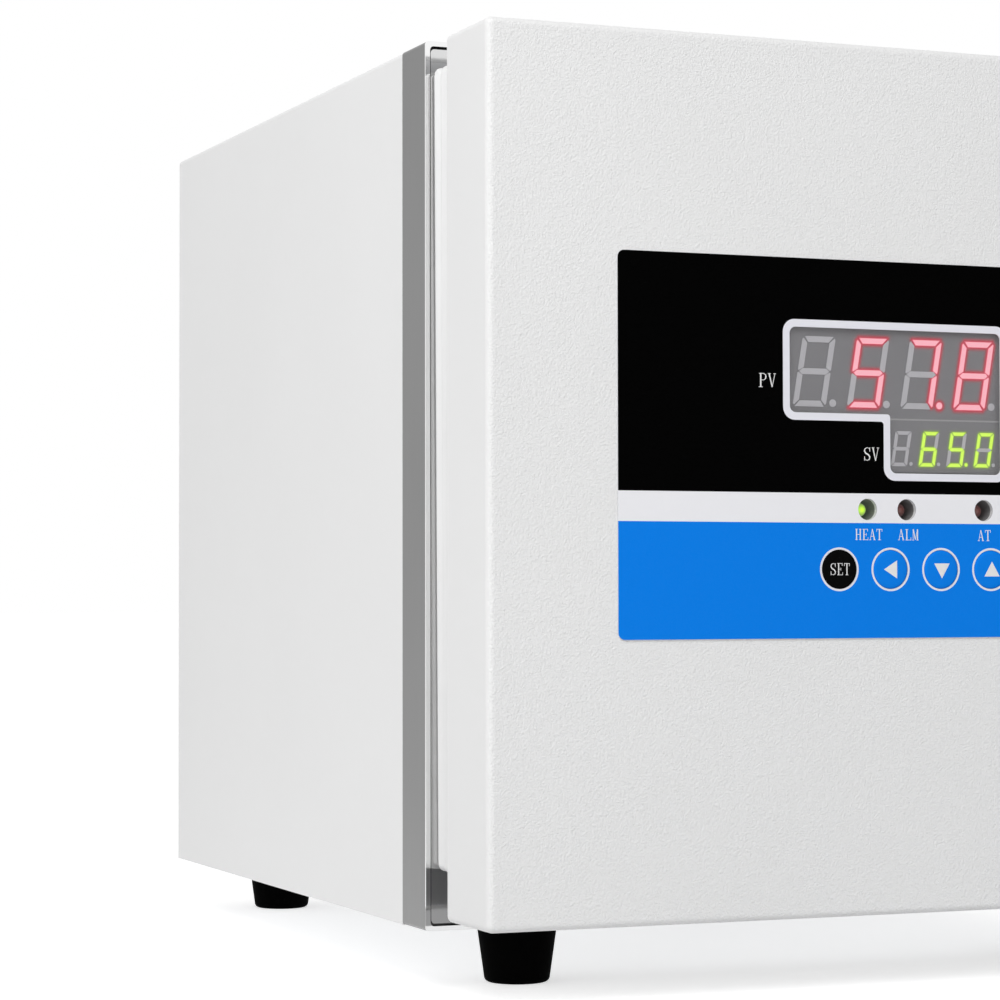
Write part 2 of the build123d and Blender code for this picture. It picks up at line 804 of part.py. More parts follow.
def foot_screws():
    """A screw up through each foot with its nut on the sheet inside the cabinet."""
    screws = []
    for x, y in foot_places():
        seat = cabinet_bottom + (frame_sheet if y < shell_front else shell_sheet)
        nut_top = seat + foot_nut_height
        head = foot_bore_depth - foot_screw_head
        screw = rod_up(x, y, foot_screw_head_radius, head, foot_bore_depth)
        screw += rod_up(x, y, foot_screw_radius, foot_bore_depth, nut_top + foot_screw_end)
        screw += from_above(Pos(x, y) * RegularPolygon(foot_nut_radius, 6), seat, nut_top)
        screws.append(screw)
    return group(screws)


# Hinge


def hinge_screw_places():
    """Two screws near the front edge of each hinge plate and one behind them."""
    x1 = side - hinge_plate_side_gap - hinge_screw_inset
    x0 = x1 - hinge_plate_width + 2 * hinge_screw_inset
    y0 = cabinet_front + hinge_plate_front_gap + hinge_screw_inset
    return [(x0, y0), (x1, y0), ((x0 + x1) / 2, cabinet_front + hinge_screw_setback)]


def hinge_screw_holes():
    """Clearance holes for the hinge plates' screws, at the top and at the foot of the cabinet."""
    radius = hinge_screw_radius + turn_fit
    holes = []
    for x, y in hinge_screw_places():
        for face in (cabinet_bottom, cabinet_top):
            low = face - max(hinge_plate_thickness, shell_bend)
            high = face + max(hinge_plate_thickness, shell_bend)
            holes.append(rod_up(x, y, radius, low, high))
    return holes


def hinge_plate(upper):
    """A flat plate screwed to the cabinet, whose nose carries the pin over or under the door's edge."""
    x1 = side - hinge_plate_side_gap
    y0 = cabinet_front + hinge_plate_front_gap
    y1 = cabinet_front + hinge_plate_grip
    grip = Pos(x1 - hinge_plate_width / 2, (y0 + y1) / 2) * Rectangle(hinge_plate_width, y1 - y0)
    grip = fillet(grip.vertices().group_by(Axis.Y)[-1], hinge_plate_corner)
    nose = Pos(hinge_x, hinge_y) * Circle(hinge_nose_radius)
    outline = make_hull(grip.edges() + nose.edges())
    z0 = cabinet_top if upper else cabinet_bottom - hinge_plate_thickness
    plate = from_above(outline, z0, z0 + hinge_plate_thickness)
    plate -= rod_up(hinge_x, hinge_y, hinge_pin_radius + turn_fit, z0, z0 + hinge_plate_thickness)
    return plate - hinge_screw_holes()


def hinge_pin(upper):
    """The pin with its head outside the plate; the lower one has a collar that bears the door."""
    if upper:
        face = cabinet_top + hinge_plate_thickness
        pin = rod_up(hinge_x, hinge_y, hinge_pin_radius, door_top - bush_length, face)
        return pin + rod_up(hinge_x, hinge_y, hinge_head_radius, face, face + hinge_head_height)
    face = cabinet_bottom - hinge_plate_thickness
    pin = rod_up(hinge_x, hinge_y, hinge_pin_radius, face, door_bottom + bush_length)
    pin += rod_up(hinge_x, hinge_y, hinge_head_radius, face - hinge_head_height, face)
    collar_radius = hinge_pin_radius + bush_wall
    collar_top = door_bottom - bush_flange - bush_play
    return pin + rod_up(hinge_x, hinge_y, collar_radius, cabinet_bottom, collar_top)


def hinge_screws():
    """Pan-head screws through both hinge plates."""
    screws = []
    for x, y in hinge_screw_places():
        face = cabinet_top + hinge_plate_thickness
        head = rod_up(x, y, hinge_screw_head_radius, face, face + hinge_screw_head)
        head = fillet(head.faces().sort_by(Axis.Z)[-1].edges(), hinge_screw_head / 2)
        screws.append(head + rod_up(x, y, hinge_screw_radius, face - hinge_screw_length, face))
        face = cabinet_bottom - hinge_plate_thickness
        head = rod_up(x, y, hinge_screw_head_radius, face - hinge_screw_head, face)
        head = fillet(head.faces().sort_by(Axis.Z)[0].edges(), hinge_screw_head / 2)
        screws.append(head + rod_up(x, y, hinge_screw_radius, face, face + hinge_screw_length))
    return group(screws)


def hinge_bush(upper):
    """A flanged plastic bush in the door's edge."""
    bore = hinge_pin_radius + turn_fit
    sleeve = bore + bush_wall
    flange = sleeve + bush_flange_reach
    edge = door_top if upper else door_bottom
    outwards = 1 if upper else -1
    inner_end, outer_end = edge - outwards * bush_length, edge + outwards * bush_flange
    z0, z1 = sorted((inner_end, outer_end))
    bush = rod_up(hinge_x, hinge_y, sleeve, z0, z1)
    bush += rod_up(hinge_x, hinge_y, flange, *sorted((edge, outer_end)))
    return bush - rod_up(hinge_x, hinge_y, bore, z0, z1)


def bush_holes(clearance):
    """The holes that the two bushes need in the door."""
    radius = hinge_pin_radius + turn_fit + bush_wall + clearance
    deep = bush_length + bush_hole_end
    return [
        rod_up(hinge_x, hinge_y, radius, door_top - deep, door_top),
        rod_up(hinge_x, hinge_y, radius, door_bottom, door_bottom + deep)]


# Door


def door_slab(inset, y0, y1):
    """A square-edged block of the door's outline, moved inwards."""
    return slab(-side + inset, side - inset, y0, y1, door_bottom + inset, door_top - inset)


def door_block(inset, y0, y1, edge):
    """A block of the door's outline less an inset, rounded along its front and its four long edges."""
    block = door_slab(inset, y0, y1)
    front_edges = block.faces().sort_by(Axis.Y)[0].edges()
    return fillet(front_edges + block.edges().filter_by(Axis.Y), edge)


def door_skin():
    """The door's outer pan, rounded at the front, returned at the rear, with the panel's cut-outs."""
    liner_front = door_back - liner_sheet
    pan = door_block(0, door_front, door_back, door_edge)
    pan -= door_block(door_sheet, skin_back, liner_front - door_sheet, door_edge - door_sheet)
    inset = door_sheet + door_return
    pan -= door_slab(inset, skin_back, door_back)
    pan -= door_slab(door_sheet, liner_front, door_back)
    pan -= from_front(window_outline(window_lap), door_front, skin_back)
    pan -= [rod_back(x, z, lamp_hole_radius, door_front, skin_back) for x, z in lamp_places()]
    pan -= [rod_back(x, z, key_radius + seat_gap, door_front, skin_back) for x, z in key_places()]
    pan -= bush_holes(sheet_fit)
    return pan


def door_liner():
    """The stainless inner plate of the door, pressed out towards the chamber's mouth."""
    plate = door_slab(door_sheet + sheet_fit, door_back - liner_sheet, door_back)
    return plate + bulge(0, door_back) - bulge(liner_sheet, door_back - liner_sheet)


def bulge(inset, foot):
    """The pressed-out middle of the liner, which narrows as it rises."""
    margin = liner_bulge_margin + inset
    across = chamber_width - 2 * margin
    up = chamber_height - 2 * margin
    outline = RectangleRounded(across, up, liner_bulge_corner)
    rearwards = Plane(origin=(0, foot, chamber_middle), x_dir=(-1, 0, 0), z_dir=(0, 1, 0))
    return extrude(rearwards * outline, amount=liner_bulge, taper=liner_bulge_angle)


def door_insulation():
    """The foam between skin and liner, with room for the control box and the bushes."""
    back = door_back - liner_sheet - door_sheet - soft_fit
    foam = door_block(door_sheet + soft_fit, skin_back + soft_fit, back, door_edge - door_sheet)
    foam -= control_room(box_wall + soft_fit, box_depth + soft_fit)
    foam -= control_room(box_wall + box_flange + soft_fit, box_wall + soft_fit)
    return foam - bush_holes(soft_fit)


def control_room(margin, depth):
    """The space behind the panel round the circuit board."""
    reach = box_margin + margin
    x0, z0 = on_panel(board_left - reach, board_bottom - reach)
    x1, z1 = on_panel(board_right + reach, board_top + reach)
    return slab(x0, x1, skin_back, skin_back + depth, z0, z1)


def control_box():
    """The tray behind the control board, flanged against the inside of the skin."""
    tray = control_room(box_wall, box_depth) + control_room(box_wall + box_flange, box_wall)
    return tray - control_room(0, box_depth - box_wall)


def gasket_profile():
    """Half of the gasket's section from the door to the magnet, as offsets inwards and depths."""
    depth = door_gap + face_recess - seat_gap
    fold = (depth - gasket_magnet_height - gasket_base) / gasket_fold_count
    half = [(0, 0), (0, gasket_base)]
    for index in range(gasket_fold_count):
        half.append((gasket_ridge, gasket_base + fold * (index + 0.5)))
        half.append((0, gasket_base + fold * (index + 1)))
    half.append((gasket_magnet_inset, depth - gasket_magnet_height))
    half.append((gasket_magnet_inset, depth))
    return half


def door_gasket():
    """The folded seal round the door, with mitred corners and a magnet strip at the frame's face."""
    half = gasket_profile()
    points = half + [(gasket_width - inwards, depth) for inwards, depth in reversed(half)]
    x0 = -side + gasket_side_inset
    z0 = cabinet_bottom + gasket_bottom_inset
    z1 = cabinet_top - gasket_top_inset
    start = (x0, door_back, (z0 + z1) / 2)
    corners = [(x0, door_back, z1), (-x0, door_back, z1), (-x0, door_back, z0), (x0, door_back, z0)]
    path = Polyline(start, *corners, close=True)
    across = Plane(origin=start, x_dir=(1, 0, 0), z_dir=(0, 0, 1))
    section = across * make_face(Polyline(*points, close=True))
    return sweep(section, path=path, transition=Transition.RIGHT)


# Control panel


def on_panel(x, z):
    """A place given from the panel's lower left corner."""
    return panel_left + x, panel_bottom + z


def lamp_places():
    """The three lamps; the place between the second and the last is empty."""
    return [on_panel(lamp_left + lamp_pitch * index, lamp_height) for index in (0, 1, 3)]


def key_places():
    """The four keys in a row."""
    return [on_panel(key_left + key_pitch * index, key_height) for index in range(key_count)]


def window_outline(margin):
    """The stepped outline of the display window, moved outwards."""
    outline = Sketch()
    for left, bottom in ((window_left, window_middle), (window_step, window_bottom)):
        across = window_right - left
        up = window_top - bottom
        centre = Pos(*on_panel(left + across / 2, bottom + up / 2))
        outline += centre * Rectangle(across + 2 * margin, up + 2 * margin)
    return fillet(outline.vertices(), window_corner)


def control_overlay():
    """The printed overlay on the door's face, open at the display, the lamps and the keys."""
    centre = Pos(*on_panel(panel_width / 2, panel_height / 2))
    sheet = centre * RectangleRounded(panel_width, panel_height, panel_corner) - window_outline(0)
    sheet -= [Pos(x, z) * Circle(lamp_hole_radius) for x, z in lamp_places()]
    sheet -= [Pos(x, z) * Circle(key_radius + key_fit) for x, z in key_places()]
    return from_front(sheet, door_front - overlay_thickness, door_front)


def display_window():
    """The clear pane in the skin's opening behind the overlay."""
    return from_front(window_outline(window_lap - sheet_fit), door_front, door_front + window_sheet)


def display_module(left, bottom, across, up):
    """A four-digit display module; its face lies just behind the pane."""
    x, z = on_panel(left, bottom)
    return slab(x, x + across, module_front, board_front, z, z + up)


def lamp(place):
    """A domed indicator lamp on the board, behind its hole."""
    x, z = place
    tip = door_front + lamp_setback
    dome = Pos(x, tip + lamp_radius, z) * Sphere(lamp_radius)
    body = rod_back(x, z, lamp_radius, tip + lamp_radius, board_front)
    rim = rod_back(x, z, lamp_radius + lamp_rim, board_front - lamp_rim_height, board_front)
    return body + dome + rim


def lamp_sleeves():
    """A dark tube between the skin and the board round each lamp."""
    sleeves = []
    for x, z in lamp_places():
        tube = rod_back(x, z, lamp_hole_radius + sleeve_wall, skin_back, board_front)
        sleeves.append(tube - rod_back(x, z, lamp_hole_radius, skin_back, board_front))
    return group(sleeves)


def switch_front():
    """How far back the key switches' plungers reach forward."""
    return board_front - switch_height - switch_plunger


def key(place):
    """A round key: a cap through the overlay, a collar that keeps it in and a stem to its switch."""
    x, z = place
    front = door_front - overlay_thickness - key_rise
    collar_front = skin_back + seat_gap
    cap = rod_back(x, z, key_radius, front, collar_front)
    cap = fillet(cap.faces().sort_by(Axis.Y)[0].edges(), key_crown)
    collar = rod_back(x, z, key_radius + key_collar_wall, collar_front, collar_front + key_collar)
    stem = rod_back(x, z, key_stem_radius, collar_front, switch_front() - key_travel - sheet_fit)
    return cap + collar + stem


def key_switches():
    """One small push switch on the board behind each key."""
    switches = []
    half = switch_size / 2
    for x, z in key_places():
        top = board_front - switch_height
        case = slab(x - half, x + half, top, board_front, z - half, z + half)
        switches.append(case + rod_back(x, z, switch_plunger_radius, switch_front(), top))
    return group(switches)


def board_corners():
    """The places of the board's four posts."""
    left = board_left + board_post_inset
    right = board_right - board_post_inset
    bottom = board_bottom + board_post_inset
    top = board_top - board_post_inset
    return [on_panel(x, z) for x in (left, right) for z in (bottom, top)]


def control_board():
    """The circuit board that carries displays, lamps and switches."""
    x0, z0 = on_panel(board_left, board_bottom)
    x1, z1 = on_panel(board_right, board_top)
    board = slab(x0, x1, board_front, board_back, z0, z1)
    radius = board_screw_radius + turn_fit
    return board - [rod_back(x, z, radius, board_front, board_back) for x, z in board_corners()]


def board_posts():
    """Hexagonal posts welded to the skin, tapped for the board's screws."""
    posts = []
    bore = board_screw_radius + turn_fit
    bore_end = board_back - board_screw_length - board_bore_end
    for x, z in board_corners():
        post = from_front(Pos(x, z) * RegularPolygon(board_post_radius, 6), skin_back, board_front)
        posts.append(post - rod_back(x, z, bore, bore_end, board_front))
    return group(posts)


def board_screws():
    """Pan-head screws that hold the board on its posts."""
    screws = []
    for x, z in board_corners():
        head = rod_back(x, z, board_screw_head_radius, board_back, board_back + board_screw_head)
        end = board_back - board_screw_length
        screws.append(head + rod_back(x, z, board_screw_radius, end, board_back))
    return group(screws)


def board_parts():
    """What stands on the rear of the board: transformer, connector, chip and capacitors."""
    x, z = on_panel((board_left + board_right) / 2, (board_bottom + board_top) / 2)
    edge, foot_z = on_panel(board_right - connector_inset, board_bottom)
    connector_z = foot_z + connector_rise
    chip_z = foot_z + chip_rise
    blocks = (
        (x - transformer_width, transformer_width, z, transformer_height, transformer_depth),
        (edge - connector_width, connector_width, connector_z, connector_height, connector_depth),
        (x - chip_width / 2, chip_width, chip_z, chip_height, chip_depth))
    pieces = [
        slab(left, left + across, board_back, board_back + depth, bottom, bottom + up)
        for left, across, bottom, up, depth in blocks]
    for index in range(can_count):
        can_x = x + can_offset + can_pitch * index
        pieces.append(rod_back(can_x, z + can_rise, can_radius, board_back, board_back + can_depth))
    return group(pieces)


def build():
    """Every node of the incubator by name."""
    lower_runner, _, upper_runner, _ = runner_heights()
    sv_bottom = pv_bottom - seat_gap - sv_height
    nodes = {
        "outer_shell": outer_shell(), "base_tray": base_tray(), "front_frame": front_frame(),
        "chamber_tank": chamber_tank(), "chamber_insulation": chamber_insulation(),
        "shelf_runners_left": shelf_runners(-1), "shelf_runners_right": shelf_runners(1),
        "lower_shelf": wire_shelf(lower_runner), "upper_shelf": wire_shelf(upper_runner),
        "temperature_probe": temperature_probe(), "probe_gland": probe_gland(),
        "heater_left": heater_mat(-1), "heater_right": heater_mat(1),
        "heater_floor": heater_mat("floor"), "thermal_cutout": thermal_cutout(),
        "bulkhead": bulkhead(), "terminal_block": terminal_block(),
        "heater_relay": heater_relay(), "rear_panel": rear_panel(),
        "rear_panel_screws": rear_panel_screws(), "power_inlet": power_inlet(),
        "inlet_pins": inlet_pins(), "fuse_drawer": fuse_drawer(), "switch_housing": switch_housing(),
        "power_rocker": power_rocker(), "foot_screws": foot_screws(),
        "hinge_plate_top": hinge_plate(True), "hinge_plate_bottom": hinge_plate(False),
        "hinge_pin_top": hinge_pin(True), "hinge_pin_bottom": hinge_pin(False),
        "hinge_screws": hinge_screws(),
        "hinge_bush_top": hinge_bush(True), "hinge_bush_bottom": hinge_bush(False),
        "door_skin": door_skin(), "door_liner": door_liner(), "door_insulation": door_insulation(),
        "door_gasket": door_gasket(), "control_box": control_box(),
        "control_overlay": control_overlay(), "display_window": display_window(),
        "pv_display": display_module(pv_left, pv_bottom, pv_width, pv_height),
        "sv_display": display_module(sv_left, sv_bottom, sv_width, sv_height),
        "lamp_sleeves": lamp_sleeves(), "key_switches": key_switches(),
        "control_board": control_board(), "board_posts": board_posts(),
        "board_screws": board_screws(), "board_parts": board_parts(),
    }
    feet = ("foot_front_left", "foot_front_right", "foot_rear_left", "foot_rear_right")
    nodes.update({name: foot(x, y) for name, (x, y) in zip(feet, foot_places())})
    lamps = ("lamp_heat", "lamp_alarm", "lamp_tune")
    nodes.update({name: lamp(place) for name, place in zip(lamps, lamp_places())})
    keys = ("key_set", "key_shift", "key_down", "key_up")
    nodes.update({name: key(place) for name, place in zip(keys, key_places())})
    return nodes


os.makedirs("parts", exist_ok=True)
for node, shape in build().items():
    export_step(shape, "parts/" + node + ".step")
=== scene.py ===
import math

import bmesh
import bpy
from mathutils import Matrix, Vector


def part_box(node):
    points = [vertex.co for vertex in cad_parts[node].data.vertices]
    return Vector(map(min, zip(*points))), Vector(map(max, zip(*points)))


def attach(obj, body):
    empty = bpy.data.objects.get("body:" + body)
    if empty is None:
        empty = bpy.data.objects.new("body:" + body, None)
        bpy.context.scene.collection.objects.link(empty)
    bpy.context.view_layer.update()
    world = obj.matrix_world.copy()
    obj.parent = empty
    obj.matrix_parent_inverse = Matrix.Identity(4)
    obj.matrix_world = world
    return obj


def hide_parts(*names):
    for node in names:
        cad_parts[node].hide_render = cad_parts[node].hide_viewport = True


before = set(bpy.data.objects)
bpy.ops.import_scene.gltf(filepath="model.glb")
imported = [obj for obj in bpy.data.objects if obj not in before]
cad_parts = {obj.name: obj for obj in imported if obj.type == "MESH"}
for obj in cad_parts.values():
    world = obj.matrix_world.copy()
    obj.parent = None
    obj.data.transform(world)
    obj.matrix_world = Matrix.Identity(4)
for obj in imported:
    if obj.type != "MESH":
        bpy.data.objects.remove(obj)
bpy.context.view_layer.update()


# The camera stands low and close to the left front corner, a little under the door's middle,
# and looks along the left side with the door's right part out of view.
def aim(forward, down):
    """The turn of a camera or lamp that looks along forward, with down at its lower edge."""
    back = -Vector(forward).normalized()
    up = -(Vector(down) - Vector(down).dot(back) * back).normalized()
    return Matrix((up.cross(back), up, back)).transposed().to_4x4()


camera_place = (-0.5356, -1.1230, 0.1429)
camera_view = (0.37688, 0.92573, 0.031413)
picture_down = (0.010577, 0.029611, -0.999506)
lens = bpy.data.cameras.new("camera")
lens.lens = 106.56
lens.sensor_width = 36.0
lens.clip_start = 0.05
lens.clip_end = 60.0
camera = bpy.data.objects.new("camera", lens)
bpy.context.scene.collection.objects.link(camera)
camera.matrix_world = Matrix.Translation(camera_place) @ aim(camera_view, picture_down)
bpy.context.scene.camera = camera
bpy.context.scene.view_settings.view_transform = "Standard"


# The studio is a white room: a dome of even light, a large soft box above the left front
# corner and a weaker one at the left.
def soft_box(name, place, target, size, power):
    """A square area lamp that faces the target."""
    lamp = bpy.data.lights.new(name, "AREA")
    lamp.shape = "SQUARE"
    lamp.size = size
    lamp.energy = power
    holder = bpy.data.objects.new(name, lamp)
    bpy.context.scene.collection.objects.link(holder)
    holder.matrix_world = Matrix.Translation(place) @ aim(Vector(target) - Vector(place), (0, 0, -1))


soft_box("key_light", place=(-0.75, -1.25, 1.35), target=(0, -0.1, 0.2), size=0.9, power=14.0)
soft_box("side_light", place=(-1.55, -0.35, 0.65), target=(0, 0, 0.2), size=0.9, power=4.0)

dome = bpy.data.worlds.new("studio")
bpy.context.scene.world = dome
dome.use_nodes = True
dome_nodes = dome.node_tree.nodes
dome_links = dome.node_tree.links


def seen_directly(nodes, links):
    """1 where a camera, mirror or glass ray looks, 0 where light only falls."""
    path = nodes.new("ShaderNodeLightPath")
    total = None
    for ray in ("Is Camera Ray", "Is Glossy Ray", "Is Transmission Ray"):
        if total is None:
            total = path.outputs[ray]
            continue
        either = nodes.new("ShaderNodeMath")
        either.operation = "MAXIMUM"
        links.new(total, either.inputs[0])
        links.new(path.outputs[ray], either.inputs[1])
        total = either.outputs[0]
    return total


dome_light = dome_nodes["Background"]
dome_light.inputs["Color"].default_value = (1.0, 1.0, 1.0, 1.0)
dome_light.inputs["Strength"].default_value = 0.50
backdrop = dome_nodes.new("ShaderNodeBackground")
backdrop.inputs["Color"].default_value = (1.0, 1.0, 1.0, 1.0)
backdrop.inputs["Strength"].default_value = 1.0
chooser = dome_nodes.new("ShaderNodeMixShader")
dome_links.new(seen_directly(dome_nodes, dome_links), chooser.inputs[0])
dome_links.new(dome_light.outputs[0], chooser.inputs[1])
dome_links.new(backdrop.outputs[0], chooser.inputs[2])
dome_links.new(chooser.outputs[0], dome_nodes["World Output"].inputs["Surface"])

# The floor is a wide white sheet. Where it is looked at it glows a little, so that it meets
# the white backdrop without a line and still keeps the object's shadow.
floor_mesh = bmesh.new()
bmesh.ops.create_grid(floor_mesh, x_segments=1, y_segments=1, size=20.0)
floor_data = bpy.data.meshes.new("floor")
floor_mesh.to_mesh(floor_data)
floor_mesh.free()
floor = bpy.data.objects.new("floor", floor_data)
bpy.context.scene.collection.objects.link(floor)
floor_paint = bpy.data.materials.new("floor_paper")
floor_paint.use_nodes = True
floor_nodes = floor_paint.node_tree.nodes
floor_links = floor_paint.node_tree.links
paper = floor_nodes["Principled BSDF"]
paper.inputs["Base Color"].default_value = (0.80, 0.80, 0.80, 1.0)
paper.inputs["Roughness"].default_value = 0.9
paper.inputs["Specular IOR Level"].default_value = 0.0
paper_glow = floor_nodes.new("ShaderNodeEmission")
paper_glow.inputs["Strength"].default_value = 0.62
lit_paper = floor_nodes.new("ShaderNodeAddShader")
floor_links.new(paper.outputs[0], lit_paper.inputs[0])
floor_links.new(paper_glow.outputs[0], lit_paper.inputs[1])
paper_chooser = floor_nodes.new("ShaderNodeMixShader")
floor_links.new(seen_directly(floor_nodes, floor_links), paper_chooser.inputs[0])
floor_links.new(paper.outputs[0], paper_chooser.inputs[1])
floor_links.new(lit_paper.outputs[0], paper_chooser.inputs[2])
floor_links.new(paper_chooser.outputs[0], floor_nodes["Material Output"].inputs["Surface"])
floor_data.materials.append(floor_paint)


# The case is one steel sheet folded round both sides and the top, powder coated white, with
# a floor tray of plated sheet and a rear cover in the same white.
class Value:
    """A number in a material that Python's operators work on; each one adds a Math node."""

    def __init__(self, socket):
        self.socket = socket

    def maths(self, operation, other, swapped=False):
        tree = self.socket.id_data
        node = tree.nodes.new("ShaderNodeMath")
        node.operation = operation
        terms = (other, self) if swapped else (self, other)
        for slot, term in zip(node.inputs, terms):
            if isinstance(term, Value):
                tree.links.new(term.socket, slot)
            else:
                slot.default_value = term
        return Value(node.outputs[0])

    def __add__(self, other):
        return self.maths("ADD", other)

    def __sub__(self, other):
        return self.maths("SUBTRACT", other)

    def __rsub__(self, other):
        return self.maths("SUBTRACT", other, True)

    def __mul__(self, other):
        return self.maths("MULTIPLY", other)

    def __pow__(self, other):
        return self.maths("POWER", other)

    def __abs__(self):
        return self.maths("ABSOLUTE", 0.0)

    __radd__ = __add__
    __rmul__ = __mul__


class Finish:
    """A material on one surface shader, whose patterns are read at the object's own place."""

    def __init__(self, name, colour, roughness, **constants):
        self.material = bpy.data.materials.new(name)
        self.material.use_nodes = True
        self.tree = self.material.node_tree
        self.surface = self.tree.nodes["Principled BSDF"]
        self.surface.inputs["Base Color"].default_value = (*colour, 1.0)
        self.surface.inputs["Roughness"].default_value = roughness
        for socket, value in constants.items():
            self.surface.inputs[socket.replace("_", " ")].default_value = value

    def node(self, kind, settings, sockets, output=0):
        """Adds a node: its settings first, then the values or links of its sockets."""
        made = self.tree.nodes.new(kind)
        for name, value in settings.items():
            if name == "stops":
                ramp = made.color_ramp.elements
                while len(ramp) < len(value):
                    ramp.new(0.5)
                for stop, (position, shade) in zip(ramp, value):
                    stop.position = position
                    stop.color = (shade, shade, shade, 1.0)
            else:
                setattr(made, name, value)
        for name, value in sockets.items():
            if isinstance(value, Value):
                self.tree.links.new(value.socket, made.inputs[name])
            else:
                made.inputs[name].default_value = value
        return Value(made.outputs[output])

    def noise(self, scale, detail=2.0, stretch=(1.0, 1.0, 1.0)):
        """A cloudy pattern; scale counts its spots to the metre."""
        place = self.node("ShaderNodeTexCoord", {}, {}, "Object")
        place = self.node("ShaderNodeMapping", {}, {"Vector": place, "Scale": stretch})
        return self.node("ShaderNodeTexNoise", {}, {"Vector": place, "Scale": scale, "Detail": detail})

    def ramp(self, value, low, high):
        """The value spread so that low becomes 0 and high becomes 1."""
        return self.node("ShaderNodeMapRange", {}, {"Value": value, "From Min": low, "From Max": high})

    def place(self):
        """The three coordinates of the surface, in metres."""
        where = self.node("ShaderNodeTexCoord", {}, {}, "Object")
        return [self.node("ShaderNodeSeparateXYZ", {}, {0: where}, axis) for axis in range(3)]

    def tint(self, factor, first, second):
        """A colour between two, by a factor; each is a colour or another tint."""
        first, second = (shade if isinstance(shade, Value) else (*shade, 1.0) for shade in (first, second))
        return self.node("ShaderNodeMix", {"data_type": "RGBA"}, {0: factor, 6: first, 7: second}, 2)

    def feed(self, socket, value):
        self.tree.links.new(value.socket, self.surface.inputs[socket])
        return self

    def relief(self, height, depth):
        """Raises the surface by up to depth metres where the height is 1."""
        bump = self.node("ShaderNodeBump", {}, {"Height": height, "Distance": depth}, "Normal")
        return self.feed("Normal", bump)


def grey(level):
    return (level, level, level)


def dress(finish, *names):
    """Gives CAD nodes a finish."""
    for name in names:
        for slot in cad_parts[name].material_slots:
            slot.material = finish.material


powder_coat = Finish("powder_coat_white", grey(0.84), 0.42, Coat_Weight=0.15, Coat_Roughness=0.25)
powder_mottle = powder_coat.noise(9.0, 3.0)
powder_coat.feed("Base Color", powder_coat.tint(powder_mottle, grey(0.82), grey(0.86)))
powder_coat.feed("Roughness", 0.36 + powder_coat.noise(260.0) * 0.12)
powder_coat.relief(powder_coat.noise(900.0, 1.0), 0.00002)
dress(powder_coat, "outer_shell", "rear_panel")

zinc_plate = Finish("zinc_plated_sheet", (0.55, 0.56, 0.57), 0.38, Metallic=1.0)
spangle = zinc_plate.noise(60.0, 4.0)
zinc_plate.feed("Base Color", zinc_plate.tint(spangle, (0.46, 0.47, 0.49), (0.64, 0.65, 0.66)))
zinc_plate.feed("Roughness", 0.28 + spangle * 0.25)
zinc_plate.relief(zinc_plate.noise(1500.0, 2.0), 0.000008)
dress(zinc_plate, "base_tray", "bulkhead", "control_box")


# The front frame is a collar of stainless sheet: a satin flange round the case, a narrow polished
# lip hemmed at the front, a groove, and a polished face set a little back. The lip is painted
# brighter than the face as a highlight; the groove and the bottom of the face are painted dark as shade.
frame_low, frame_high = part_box("front_frame")
lip_depth = 0.0008
lip_width = 0.0018
lip_fade = 0.0004
face_fade = 0.0002
groove_near, groove_far = 0.0010, 0.0012
shade_top, shade_full = 0.0092, 0.0078
bottom_lip_top, bottom_lip_full = 0.0022, 0.0018
lip_back = frame_low.y + lip_depth
face_side = frame_high.x - lip_width
stainless = Finish("stainless_frame", grey(0.25), 0.3, Metallic=1.0)
frame_x, frame_y, frame_z = stainless.place()
# The lip is polished, and it is also painted brighter than the face as a highlight.
lip_polish_and_highlight = stainless.ramp(frame_y, lip_back, lip_back - lip_fade)
off_middle = abs(frame_z - (frame_low.z + frame_high.z) / 2)
in_face = stainless.ramp(abs(frame_x).maths("MAXIMUM", off_middle), face_side + face_fade, face_side)
polished = lip_polish_and_highlight.maths("MAXIMUM", in_face)
# Painted shade: the groove behind the lip is coloured near black.
groove_shade = in_face * stainless.ramp(frame_y, lip_back + groove_near, lip_back + groove_far)
# Painted shade: the polished face is coloured dark grey in its lowest 8 to 9 mm.
low_face_shade = stainless.ramp(frame_z, frame_low.z + shade_top, frame_low.z + shade_full)
# Painted light: the lowest 2 mm is coloured a middle grey, lighter than the painted shade above it and dimmer
# than the lip's painted highlight.
bottom_lip = stainless.ramp(frame_z, frame_low.z + bottom_lip_top, frame_low.z + bottom_lip_full)
drawn = stainless.noise(900.0, 3.0, (1.0, 1.0, 0.02))
satin = stainless.tint(stainless.noise(14.0), grey(0.17), grey(0.215))
mirror = stainless.tint(low_face_shade, stainless.tint(lip_polish_and_highlight, grey(0.72), grey(0.92)), grey(0.22))
mirror = stainless.tint(bottom_lip, mirror, grey(0.60))
mirror = stainless.tint(groove_shade, mirror, grey(0.03))
stainless.feed("Base Color", stainless.tint(polished, satin, mirror))
stainless.feed("Roughness", stainless.ramp(polished, 1.0, 0.0) * 0.22 + 0.06 + drawn * 0.06)
stainless.relief(drawn, 0.000004)
dress(stainless, "front_frame")


# The chamber is a tank of brushed stainless sheet with round corners, wrapped in mineral
# wool. Angle strips on both sides carry the wire shelves; a gland holds the probe.
brushed = Finish("stainless_brushed", (0.55, 0.55, 0.56), 0.3, Metallic=1.0)
brush_marks = brushed.noise(1400.0, 4.0, (1.0, 0.02, 1.0))
brushed.feed("Roughness", 0.24 + brush_marks * 0.16)
brushed.feed("Base Color", brushed.tint(brushed.noise(8.0), (0.50, 0.50, 0.51), (0.60, 0.60, 0.61)))
brushed.relief(brush_marks, 0.000005)
dress(brushed, "chamber_tank", "shelf_runners_left", "shelf_runners_right", "temperature_probe", "door_liner")

